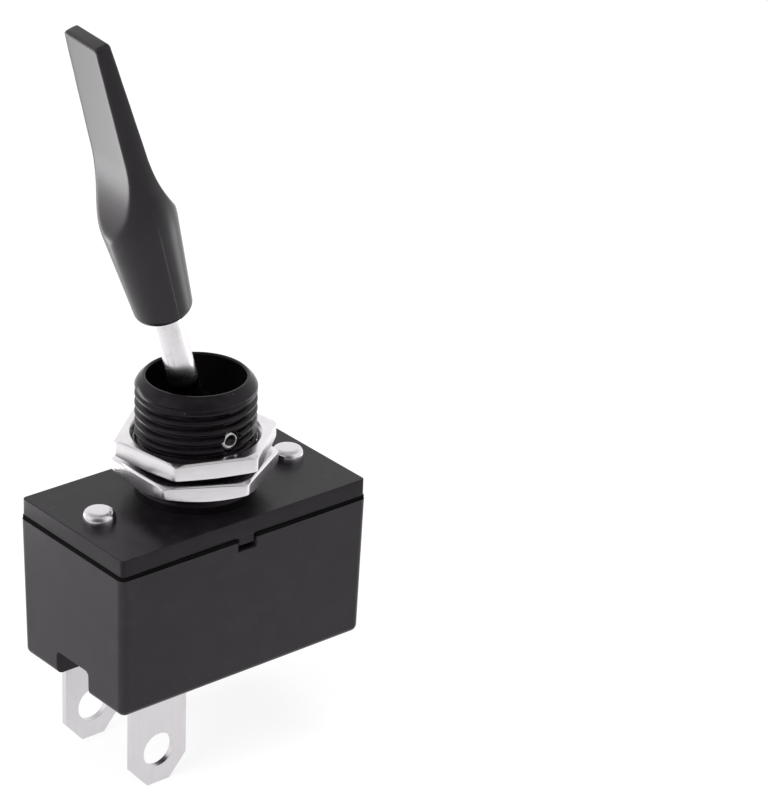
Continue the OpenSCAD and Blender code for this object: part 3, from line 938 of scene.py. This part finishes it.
@dataclass
class ThreadedBushing:
    """Threaded neck moulded with the lid, with its bore, its bevelled mouth and the pivot pin's holes.

    inset is how far the crests lie inside the nominal radius. The thread fades in over fade_in above start
    and out over fade_out below the bevel. plain_turn, plain_half and plain_soft are degrees. Near a pin hole,
    as far as fine, the rows and columns stand closer. roundings has one value for each corner of the mouth.
    """

    radius: float = 6.0
    height: float = 12.3
    inset: float = 0.04
    bore: float = 4.86
    hole: float = 5.3
    sunk: float = 1.79
    step_z: float = -0.1
    lip_w: float = 0.85
    lip_h: float = 1.0
    lip_middle: tuple[float, float] = (0.3, 0.52)
    mouth_edge: tuple[float, float] = (0.1, 0.12)
    pitch: float = 1.0
    depth: float = 0.5
    sharpness: float = 1.5
    start: float = 0.9
    fade_in: float = 0.8
    fade_out: float = 0.7
    plain_turn: float = -51.0
    plain_half: float = 8.0
    plain_soft: float = 5.0
    plain_z: tuple[float, float] = (6.2, 8.2)
    plain_fade: float = 0.6
    plain_share: float = 0.25
    pin_r: float = 1.06
    pin_end: float = 5.4
    cone_slope: float = 4.0
    cone_step: float = 0.1
    pit: float = 0.3
    pit_r: float = 1.11
    pit_soft: float = 0.06
    fine: float = 1.9
    row: float = 0.085
    fine_row: float = 0.058
    near_columns: int = 65
    far_columns: int = 110
    roundings: tuple[float, ...] = (0.2, 0.3) + 7 * (0.06,)

    def columns(self) -> np.ndarray:
        """Gives the angles of the columns, closer together near the two pin holes at -90 and 90 degrees.

        Returns:
            Angles, once round from just before the hole at -90 degrees.
        """
        half = self.fine / self.radius
        near = np.linspace(-half, half, self.near_columns)
        far = np.linspace(half, TURN / 2 - half, self.far_columns)[1:-1]
        both = np.concatenate([near, far])
        return np.concatenate([both - TURN / 4, both + TURN / 4])

    def rows(self) -> np.ndarray:
        """Gives the heights of the threaded wall's rows, closer together near the pin holes.

        Returns:
            Heights, from the foot up to the bevel.
        """
        low = np.arange(0.0, PIVOT_Z - self.fine, self.row)
        near = np.arange(PIVOT_Z - self.fine, PIVOT_Z + self.fine, self.fine_row)
        high = np.arange(PIVOT_Z + self.fine, self.height - self.lip_h, self.row)
        return np.concatenate([low, near, high])

    def plain(self, t: np.ndarray, h: np.ndarray) -> np.ndarray:
        """Gives the share of the thread's depth: plain_share in a patch beside the front pin hole, else 1.

        Args:
            t: angles about the axis.
            h: heights.

        Returns:
            Shares.
        """
        beside = np.abs((np.degrees(t) - self.plain_turn + 180) % 360 - 180)
        low, high = self.plain_z
        outside = np.clip((beside - self.plain_half) / self.plain_soft, 0, 1)
        outside = outside + np.clip((h - high) / self.plain_fade, 0, 1)
        outside = outside + np.clip((low - h) / self.plain_fade, 0, 1)
        return self.plain_share + (1 - self.plain_share) * np.clip(outside, 0, 1)

    def wall(self, turn: np.ndarray, z: np.ndarray) -> np.ndarray:
        """Gives the threaded wall's radius.

        The right-hand thread is crest - depth (0.5 - 0.5 cos 2 pi (z / pitch - t / 2 pi))^sharpness. It fades
        in at the foot and out at the mouth. A hole is a cone from its rim down to the pin's radius, and a pit
        inside that.

        Args:
            turn: angles, one for each column.
            z: heights, one for each row.

        Returns:
            Radii, rows by columns.
        """
        t, h = turn[None, :], z[:, None]
        wave = (0.5 - 0.5 * np.cos(TURN * (h / self.pitch - t / TURN))) ** self.sharpness
        fade = np.clip((h - self.start) / self.fade_in, 0, 1)
        fade = fade * np.clip((self.height - self.lip_h - h) / self.fade_out, 0, 1)
        radius = self.radius - self.inset - self.depth * wave * fade * self.plain(t, h)
        across = self.radius * np.abs(np.abs((t + TURN / 4) % (TURN / 2) - TURN / 4) - TURN / 4)
        off = np.hypot(across, h - PIVOT_Z)
        cone = self.pin_end + self.cone_step + (off - self.pin_r) * self.cone_slope
        return np.minimum(radius, cone) - np.clip((self.pit_r - off) / self.pit_soft, 0, 1) * self.pit

    def mouth(self) -> np.ndarray:
        """Gives the profile from the bevel's foot over the mouth and down the bore to the step under the lid.

        Returns:
            Rows of radius and height.
        """
        top, crest = self.height, self.radius - self.inset
        inner, drop = self.mouth_edge
        corners = [
            [crest, top - self.lip_h],
            [self.radius - self.lip_middle[0], top - self.lip_middle[1]],
            [self.radius - self.lip_w, top],
            [self.bore + inner, top],
            [self.bore, top - drop],
            [self.bore, 0.0],
            [self.bore, -self.sunk],
            [self.hole, -self.sunk],
            [self.hole, self.step_z],
        ]
        return soften(corners, np.array(self.roundings)[:, None], 5)[1:]

    def build(self) -> None:
        """Makes the neck and dresses it."""
        turn, z = self.columns(), self.rows()
        mouth = self.mouth()
        radii = np.concatenate([self.wall(turn, z), np.broadcast_to(mouth[:, :1], (len(mouth), len(turn)))])
        heights = np.concatenate([z, mouth[:, 1]])[:, None]
        neck = make_piece("threaded_bushing", [grid_shell(round_grid(radii, turn, heights), ring=True)], 50.0)
        settle(neck, THREAD_SHADED_BLACK.build(), Body.HOUSED, "cover_plastic", "cover")


@dataclass
class PivotPin:
    """Straight pin across the bushing, on which the lever swings."""

    radius: float = 1.0
    end: float = 5.4
    edge: float = 0.16
    dish_r: float = 0.6
    dish: float = 0.2
    rounding: float = 0.07

    def build(self) -> None:
        """Makes the pin, dished at both ends, and dresses it.

        Halfway out to its rim, a dish still has 0.85 of its depth.
        """
        low = [
            [0, self.dish - self.end],
            [0.5 * self.dish_r, 0.85 * self.dish - self.end],
            [self.dish_r, -self.end],
            [self.radius - self.edge, -self.end],
            [self.radius, self.edge - self.end],
        ]
        profile = soften(low + [[r, -z] for r, z in reversed(low)], self.rounding)
        pin = make_piece("cross_pin", [revolve(profile, 64).along_y().moved(z=PIVOT_Z)])
        settle(pin, PIN_STEEL.build(), Body.HOUSED, "pin_metal", "pivot_pin")


@dataclass
class Rivets:
    """The two semi-tubular rivets that hold the cover on the housing."""

    place: float = 11.5
    head_r: float = 1.65
    head_h: float = 1.15
    side_power: float = 7.0
    top_power: float = 2.2
    shank_r: float = 1.1
    tail_z: float = -14.45
    tail_h: float = 0.7
    bore_r: float = 0.66
    bore_l: float = 2.3
    bore_tip: float = 0.3
    neck: float = 0.02
    head_rows: int = 36
    roll_rows: int = 12

    def profile(self) -> np.ndarray:
        """Gives the rivet's profile from the head's top to the bottom of the tail's bore.

        The head is (r / head_r)^side_power + (z / head_h)^top_power = 1, and the rolled tail a half circle of
        tail_h. The shank ends by neck above the tail.

        Returns:
            Rows of radius and height.
        """
        t = TURN / 4 * np.linspace(0, 1, self.head_rows) ** 2
        r = self.head_r * np.sin(t) ** (2 / self.side_power)
        z = self.head_h * np.cos(t) ** (2 / self.top_power)
        a = np.linspace(TURN / 4, -TURN / 4, self.roll_rows)
        half = self.tail_h / 2
        roll = np.stack([self.shank_r + half * np.cos(a), self.tail_z - half + half * np.sin(a)], axis=-1)
        top = self.tail_z + self.bore_l
        shank = [[self.shank_r, 0], [self.shank_r, self.tail_z + self.neck]]
        bore = [[self.bore_r, self.tail_z - self.tail_h], [self.bore_r, top], [0, top + self.bore_tip]]
        return np.concatenate([np.stack([r, z], axis=-1), shank, roll, bore])

    def build(self) -> None:
        """Makes both rivets and dresses them."""
        metal = RIVET_NICKEL.build()
        for side, word in ((-1, "left"), (1, "right")):
            rivet = make_piece(f"rivet_{word}_head", [revolve(self.profile(), 72).moved(x=side * self.place)])
            settle(rivet, metal, Body.HOUSED, "rivet_metal", f"rivet_{word}")


@dataclass
class HexNut:
    """Thin hexagon nut.

    bevel is the width and height of the top edge's bevel, and roundings has one value for each corner of the
    profile, from the bore's foot outwards and back to its top.
    """

    name: str
    node: str
    body: Body
    foot: float
    turn: float
    flats: float = 14.3
    height: float = 1.8
    bore: float = 6.05
    sink: float = 0.4
    sole_step: float = 0.15
    chamfer: float = math.radians(24)
    least_chamfer: float = 0.02
    top_cut: float = 0.5
    bevel: tuple[float, float] = (0.22, 0.15)
    power: float = 70.0
    columns: int = 44
    roundings: tuple[float, ...] = (0.04, 0.05, 0.06, 0.1, 0.09, 0.09, 0.06, 0.04)

    def build(self, metal: bpy.types.Material) -> None:
        """Makes the nut and dresses it.

        The outline in plan is the smooth least of the three pairs of flats,
        a / (sum |cos(t - k 60)|^p)^(1/p), with a = half the width across flats. At each angle the side stands
        between a cone on the lower corners, z = (r - sole) tan(chamfer), and a slight one above,
        z = height - (r - ring) / 2, or the top edge's bevel. The columns stand closer together near the
        corners.

        Args:
            metal: the nuts' material.
        """
        half = self.flats / 2
        u = np.linspace(-1, 1, self.columns, endpoint=False)
        t = (np.arange(6)[:, None] * TURN / 6 + TURN / 12 * np.sign(u) * np.abs(u) ** 2).ravel()
        cosines = np.abs(np.cos(t[:, None] - np.arange(3) * TURN / 6 + TURN / 12)) ** self.power
        side = half / cosines.sum(axis=1) ** (1 / self.power)
        sole, ring = half - self.sole_step, half / math.cos(TURN / 12) - self.top_cut
        low = np.maximum(side - sole, 0) * math.tan(self.chamfer)
        high = self.height - np.maximum(side - ring, 0) / 2
        corners = [
            (self.bore, self.sink),
            (self.bore + self.sink, 0),
            (np.minimum(side, sole), 0),
            (side, np.maximum(low, self.least_chamfer)),
            (side, np.minimum(high, self.height - self.bevel[1])),
            (np.minimum(side, ring) - self.bevel[0], self.height),
            (self.bore + self.sink, self.height),
            (self.bore, self.height - self.sink),
        ]
        grid = np.array([np.broadcast_arrays(r, z, side)[:2] for r, z in corners]).transpose(0, 2, 1)
        profile = soften(grid, np.array(self.roundings)[:, None, None], 4, ring=True)
        points = round_grid(profile[..., 0], t + math.radians(self.turn), profile[..., 1] + self.foot)
        nut = make_piece(self.name, [grid_shell(points, ring=True)], 45.0)
        settle(nut, metal, self.body, "nut_metal", self.node)


@dataclass
class Lever:
    """Metal lever with its ball, hub and hollow lower end."""

    shaft_r: float = 1.45
    top: float = 25.2
    ball_r: float = 3.1
    barrel_r: float = 1.9
    barrel_l: float = 10.5
    bore_r: float = 1.33
    bore_top: float = 4.0
    hub_r: float = 2.0
    hub_w: float = 8.0
    edge: float = 0.1
    hub_edge: float = 0.2
    ball_rows: int = 40

    def build(self) -> None:
        """Makes the lever and dresses it.

        The ball's part of the profile is ball_r (cos t, sin t) between the angles at which it meets the shaft
        above and the barrel below.
        """
        first, last = math.acos(self.shaft_r / self.ball_r), -math.acos(self.barrel_r / self.ball_r)
        t = np.linspace(first, last, self.ball_rows)
        ball = self.ball_r * np.stack([np.cos(t), np.sin(t)], axis=-1)
        end, bore = -self.barrel_l, -self.bore_top
        above = [[0, self.top], [self.shaft_r, self.top], [self.shaft_r, ball[0, 1]]]
        below = [[self.barrel_r, ball[-1, 1]], [self.barrel_r, end], [self.bore_r, end]]
        below = below + [[self.bore_r, bore], [0, bore]]
        profile = np.concatenate([soften(above, self.edge), ball, soften(below, self.edge)])
        shaft = revolve(profile, 96).leaning()
        half = self.hub_w / 2
        rim = [[0, -half], [self.hub_r, -half], [self.hub_r, half], [0, half]]
        hub = revolve(soften(rim, self.hub_edge), 64)
        lever = make_piece("lever_shaft", [shaft, hub.along_y().leaning()])
        settle(lever, LEVER_CHROME.build(), Body.LEVER, "lever_metal", "lever")


@dataclass
class Handle:
    """Moulded paddle on the shaft: round at the foot, scooped to a slim blade above."""

    start: float = 13.2
    length: float = 30.7
    foot_d: float = 5.6
    shoulder_d: float = 7.44
    tip_d: float = 5.9
    shoulder: float = 11.9
    swell: float = 0.12
    swell_l: float = 2.5
    edge: float = 0.45
    foot_edge: float = 0.8
    tip_t: float = 1.5
    neck_t: float = 2.65
    neck: float = 14.5
    scoop: float = math.radians(32)
    scoop_r: float = 14.0
    tip_edge: float = 0.25
    power: float = 30.0
    rows: int = 150
    curl_rows: int = 14
    columns: int = 208

    def half_thickness(self, s: np.ndarray) -> np.ndarray:
        """Gives half the paddle's thickness at height s.

        It is a straight taper to the tip and a straight flare at the foot, with an arc of the radius scoop_r
        between them that touches both.

        Args:
            s: heights above the foot.

        Returns:
            Half thicknesses.
        """
        lean = math.atan((self.neck_t - self.tip_t) / 2 / (self.length - self.neck))
        reach = self.scoop_r * math.tan((self.scoop - lean) / 2)
        low, high = self.neck - reach * math.cos(self.scoop), self.neck + reach * math.cos(lean)
        flare = self.neck_t / 2 + (self.neck - s) * math.tan(self.scoop)
        left = (self.length - s) / (self.length - self.neck)
        taper = self.tip_t / 2 + (self.neck_t - self.tip_t) / 2 * left
        at_low = self.neck_t / 2 + (self.neck - low) * math.tan(self.scoop)
        x, level = at_low + self.scoop_r * math.cos(self.scoop), low + self.scoop_r * math.sin(self.scoop)
        arc = x - np.sqrt(np.maximum(self.scoop_r**2 - (s - level) ** 2, 0))
        return np.where(s < low, flare, np.where(s > high, taper, arc))

    def half_width(self, s: np.ndarray) -> np.ndarray:
        """Gives half the width at height s: a cone, a swelling r1 - swell u^2 at the shoulder, a slim blade.

        Args:
            s: heights above the foot.

        Returns:
            Half widths.
        """
        u = (s - self.shoulder) / self.swell_l
        r0, r1, r2 = self.foot_d / 2, self.shoulder_d / 2, self.tip_d / 2
        ends = np.array([self.shoulder - self.swell_l, self.shoulder + self.swell_l])
        cone = np.interp(s, [0, ends[0]], [r0, r1 - self.swell])
        blade = np.interp(s, [ends[1], self.length], [r1 - self.swell, r2])
        return np.where(np.abs(u) < 1, r1 - self.swell * u**2, np.where(u < 0, cone, blade))

    def build(self) -> None:
        """Makes the paddle and dresses it.

        At the polar angle t the radius is ((|cos t| / h)^p + (1 / w)^p)^(-1/p), the smooth least of the flat
        sides h / |cos t| and the round ones w. Both h and w draw in at the foot and the tip by
        e - sqrt(e^2 - d^2), a quarter circle.
        """
        curl = 1 - np.sin(np.linspace(0, TURN / 4, self.curl_rows))
        inner = np.linspace(self.foot_edge, self.length - self.edge, self.rows)[1:-1]
        s = np.concatenate([self.foot_edge * curl[::-1], inner, self.length - self.edge * curl])
        low = np.maximum(self.foot_edge - s, 0)
        high = np.maximum(s - self.length + self.edge, 0)
        foot = self.foot_edge - np.sqrt(np.maximum(self.foot_edge**2 - low**2, 0))
        tip = self.edge - np.sqrt(np.maximum(self.edge**2 - high**2, 0))
        wide = (self.half_width(s) - foot - tip)[:, None]
        thick = (self.half_thickness(s) - foot - tip * self.tip_edge / self.edge)[:, None]
        t = np.linspace(0, TURN, self.columns, endpoint=False)
        p = self.power
        radius = ((np.abs(np.cos(t)) / thick) ** p + (1 / wide) ** p) ** (-1 / p)
        grid = round_grid(radius, t + HANDLE_TURN, s[:, None] + self.start)
        paddle = make_piece("handle_paddle", [capped_shell(grid).leaning()], 50.0)
        settle(paddle, HANDLE_BLACK.build(), Body.LEVER, "handle_plastic", "handle")


@dataclass
class Mechanism:
    """What is inside: the plunger with its spring, and the roller that joins both contacts.

    The spring stands between the plunger's stem and the bore's top with play in all, low_play of it below.
    """

    arm: float = 15.0
    stem_top: float = 7.2
    bore_top: float = 4.0
    wire_r: float = 0.17
    coil_r: float = 1.1
    turns: float = 5.0
    play: float = 0.1
    low_play: float = 0.03
    turn_rows: int = 36
    wire_columns: int = 12
    roller_r: float = 1.5
    roller_l: float = 9.4
    waist_r: float = 0.83
    end_w: float = 2.25
    roller_edge: float = 0.12
    plunger_edge: float = 0.06

    def coil(self) -> Shell:
        """Makes the spring.

        Its line is (R cos a, R sin a, pitch a / 2 pi) with a dead quarter turn at each end, and its skin is
        the line + wire_r (cos b along the radius, sin b upwards).

        Returns:
            The spring's shell, upright round the pivot.
        """
        free = self.stem_top - self.bore_top - self.play - 2 * self.wire_r
        a = np.linspace(0, self.turns * TURN, int(self.turns * self.turn_rows) + 1)[:, None]
        rise = np.clip((a - TURN / 4) / (self.turns * TURN - TURN / 2), 0, 1)
        b = np.linspace(0, TURN, self.wire_columns, endpoint=False)[None, :]
        low = self.wire_r - self.stem_top + self.low_play
        z = low + free * rise + self.wire_r * np.sin(b)
        return capped_shell(round_grid(self.coil_r + self.wire_r * np.cos(b), a, z))

    def roller(self) -> Shell:
        """Makes the roller: two thick ends on a slim waist, turned about Y.

        Returns:
            The roller's shell, upright round the pivot.
        """
        half, inner = self.roller_l / 2, self.roller_l / 2 - self.end_w
        low = [[0, -half], [self.roller_r, -half], [self.roller_r, -inner], [self.waist_r, -inner]]
        profile = soften(low + [[r, -z] for r, z in reversed(low)], self.roller_edge)
        return revolve(profile, 72).along_y().moved(z=-self.arm)

    def build(self) -> None:
        """Makes the inner pieces and dresses them."""
        plunger = copy_of("plunger", "plunger_body", self.plunger_edge)
        settle(plunger, PLUNGER_TAN.build(), Body.PLUNGER, "plunger_plastic", "plunger")
        roller = make_piece("roller_body", [self.roller().leaning()])
        settle(roller, ROLLER_BRONZE.build(), Body.ROLLER, "roller_metal", "contact_roller")
        spring = make_piece("spring_coil", [self.coil().leaning()], 60.0)
        settle(spring, SPRING_STEEL.build(), Body.LEVER, "spring_metal", "plunger_spring")
        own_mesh(spring)


@dataclass
class Terminals:
    """The two tinned blades with their silver facings."""

    edge: float = 0.07
    facing_edge: float = 0.04

    def build(self) -> None:
        """Makes both blades and both facings and dresses them."""
        tin, silver = TERMINAL_TIN.build(), CONTACT_SILVER.build()
        for word in ("front", "rear"):
            blade = copy_of(f"terminal_{word}", f"blade_{word}", self.edge)
            settle(blade, tin, Body.HOUSED, "terminal_metal", f"terminal_{word}")
            facing = copy_of(f"contact_{word}", f"facing_{word}", self.facing_edge)
            settle(facing, silver, Body.HOUSED, "contact_metal", f"contact_{word}")


def put(name: str, data: bpy.types.ID, axes: list, place: tuple[float, float, float]) -> bpy.types.Object:
    """Adds a lamp or a camera.

    Args:
        name: its name.
        data: the lamp or the camera.
        axes: its unit vectors to the right, up and backwards.
        place: where it is, in millimetres.

    Returns:
        The object.
    """
    thing = bpy.data.objects.new(name, data)
    bpy.context.scene.collection.objects.link(thing)
    turned = Matrix(np.stack(axes, axis=1).tolist()).to_4x4()
    turned.translation = [c * MM for c in place]
    thing.matrix_world = turned
    return thing


@dataclass(frozen=True)
class Lamp:
    """Soft rectangular lamp that the camera doesn't see.

    place and aim are where it stands and what it looks at, size its width and height, power its watts.
    """

    name: str
    place: tuple[float, float, float]
    size: tuple[float, float]
    power: float
    aim: tuple[float, float, float] = (0.0, 0.0, 5.0)
    shine: bool = False

    def build(self) -> None:
        """Adds the lamp. Reflections show it only where shine says so."""
        light = bpy.data.lights.new(self.name, "AREA")
        light.shape = "RECTANGLE"
        light.size, light.size_y = (length * MM for length in self.size)
        light.energy = self.power
        back = np.array(self.place) - self.aim
        back = back / np.linalg.norm(back)
        side = np.cross([0, 0, 1], back)
        side = side / np.linalg.norm(side)
        lamp = put(self.name, light, [side, np.cross(back, side), back], self.place)
        lamp.visible_camera = False
        lamp.visible_glossy = self.shine


LAMPS = (
    Lamp("lamp_left", (-420, -60, 260), (300, 300), 3.6),
    Lamp("lamp_top", (60, 40, 480), (380, 380), 2.2),
    Lamp("lamp_low", (-36, 71, -26), (36, 100), 0.047, aim=(-31.5, 62.1, 74), shine=True),
    Lamp("lamp_back", (-50, 135, -4), (50, 44), 0.02, aim=(-11, 0, 25), shine=True),
    Lamp("lamp_right", (118, -24, -26), (60, 90), 0.03, aim=(108, -22, 74), shine=True),
)


@dataclass
class Studio:
    """Ground, sky, lamps and camera.

    sky is how strong the sky lights, zenith and front how much of it reflections show overhead and on the
    camera's side, and floor_near the same for the floor in front of the part. The camera's place, axes and
    focal length, in picture pixels, are those that were fitted to the photograph.
    """

    floor_z: float = -27.5
    reach: float = 1500.0
    white: float = 0.9
    glow: float = 0.86
    floor_near: float = 0.5
    near: tuple[float, float] = (-0.03, 0.1)
    sky: float = 0.55
    zenith: float = 0.5
    overhead: tuple[float, float] = (0.45, 0.95)
    front: float = 0.12
    forward: tuple[float, float] = (0.4, 0.95)
    camera_at: tuple[float, float, float] = (-187.614222, -245.207907, 157.321501)
    right: tuple[float, float, float] = (0.767091, -0.640664, 0.033495)
    up: tuple[float, float, float] = (0.253818, 0.351027, 0.901308)
    back: tuple[float, float, float] = (-0.589193, -0.682883, 0.431882)
    focal: float = 3543.082
    picture_h: float = 810.0
    sensor: float = 36.0

    def ground(self) -> None:
        """Makes the pale floor.

        To the camera and in reflections it is mostly plain white, with the rest left to its lit surface,
        which keeps the object's shadow.
        """
        r = np.array([0.0, 0.25, 0.5, 1.0])[:, None] * self.reach
        t = np.linspace(0, TURN, 64, endpoint=False)
        floor = make_piece("floor", [grid_shell(round_grid(r, t, np.array(self.floor_z)))])
        material = bpy.data.materials.new("floor_white")
        material.use_nodes = True
        board = Board(material.node_tree)
        shader = material.node_tree.nodes["Principled BSDF"]
        shader.inputs["Base Color"].default_value = (self.white, self.white, self.white, 1.0)
        shader.inputs["Roughness"].default_value = 0.9
        shader.inputs["Specular IOR Level"].default_value = 0.1
        rays = board.add("LightPath").outputs
        seen = board.math("MAXIMUM", rays["Is Camera Ray"], rays["Is Transmission Ray"])
        near = board.dot(board.add("TexCoord").outputs["Object"], TOWARDS_CAMERA)
        dim = board.ramp(near, *self.near, out0=1.0, out1=self.floor_near)
        strength = board.math("ADD", seen, board.math("MULTIPLY", rays["Is Glossy Ray"], dim))
        light = board.add("Emission", {"Color": (1.0, 1.0, 1.0, 1.0), "Strength": strength}).outputs[0]
        share = board.math("MULTIPLY", board.math("MAXIMUM", seen, rays["Is Glossy Ray"]), self.glow)
        mixed = board.add("MixShader", {0: share, 1: shader.outputs[0], 2: light}).outputs[0]
        board.feed(material.node_tree.nodes["Material Output"].inputs["Surface"], mixed)
        floor.data.materials.append(material)

    def air(self) -> None:
        """Makes the sky: white to the camera, softer as light.

        In reflections it is white near the horizon behind, and falls off upwards and towards the camera's
        side, as in a studio with its pale ground and backdrop lit and the rest of the room left dark.
        """
        world = bpy.data.worlds.new("studio_air")
        bpy.context.scene.world = world
        world.use_nodes = True
        board = Board(world.node_tree)
        shader = world.node_tree.nodes["Background"]
        shader.inputs["Color"].default_value = (1.0, 1.0, 1.0, 1.0)
        way = board.add("TexCoord").outputs["Generated"]
        above = board.ramp(board.part(way, "Z"), *self.overhead, out0=1.0, out1=self.zenith)
        before = board.ramp(board.dot(way, TOWARDS_CAMERA), *self.forward, out0=1.0, out1=self.front)
        dim = board.math("MULTIPLY", above, before)
        rays = board.add("LightPath").outputs
        seen = board.math("MAXIMUM", rays["Is Camera Ray"], rays["Is Transmission Ray"])
        more = board.math("SUBTRACT", dim, self.sky)
        lit = board.math("MULTIPLY_ADD", rays["Is Glossy Ray"], more, self.sky)
        rest = board.math("MULTIPLY", board.math("SUBTRACT", 1.0, seen), lit)
        board.feed(shader.inputs["Strength"], board.math("ADD", seen, rest))

    def camera(self) -> None:
        """Adds the camera at the photograph's angle."""
        data = bpy.data.cameras.new("camera")
        data.sensor_fit = "AUTO"
        data.sensor_width = self.sensor
        data.lens = self.focal / self.picture_h * self.sensor
        data.clip_start = 0.01
        data.clip_end = 10.0
        bpy.context.scene.camera = put("camera", data, [self.right, self.up, self.back], self.camera_at)

    def build(self) -> None:
        """Sets up the whole studio."""
        self.ground()
        self.air()
        for lamp in LAMPS:
            lamp.build()
        self.camera()
        bpy.context.scene.view_settings.view_transform = "Standard"


def main() -> None:
    """Builds every sub-assembly in order, then the studio."""
    logging.basicConfig(level=logging.INFO, format="%(message)s")
    HousingBox().build()
    CoverPlate().build()
    ThreadedBushing().build()
    PivotPin().build()
    Rivets().build()
    nickel = NUT_NICKEL.build()
    HexNut("nut_behind_panel", "backing_nut", Body.BACKING_NUT, foot=2.0, turn=30.6).build(nickel)
    slight = math.radians(8)
    HexNut("nut_before_panel", "panel_nut", Body.PANEL_NUT, foot=4.5, turn=39.2, chamfer=slight).build(nickel)
    Lever().build()
    Handle().build()
    Mechanism().build()
    Terminals().build()
    Studio().build()


if __name__ == "__main__":
    main()
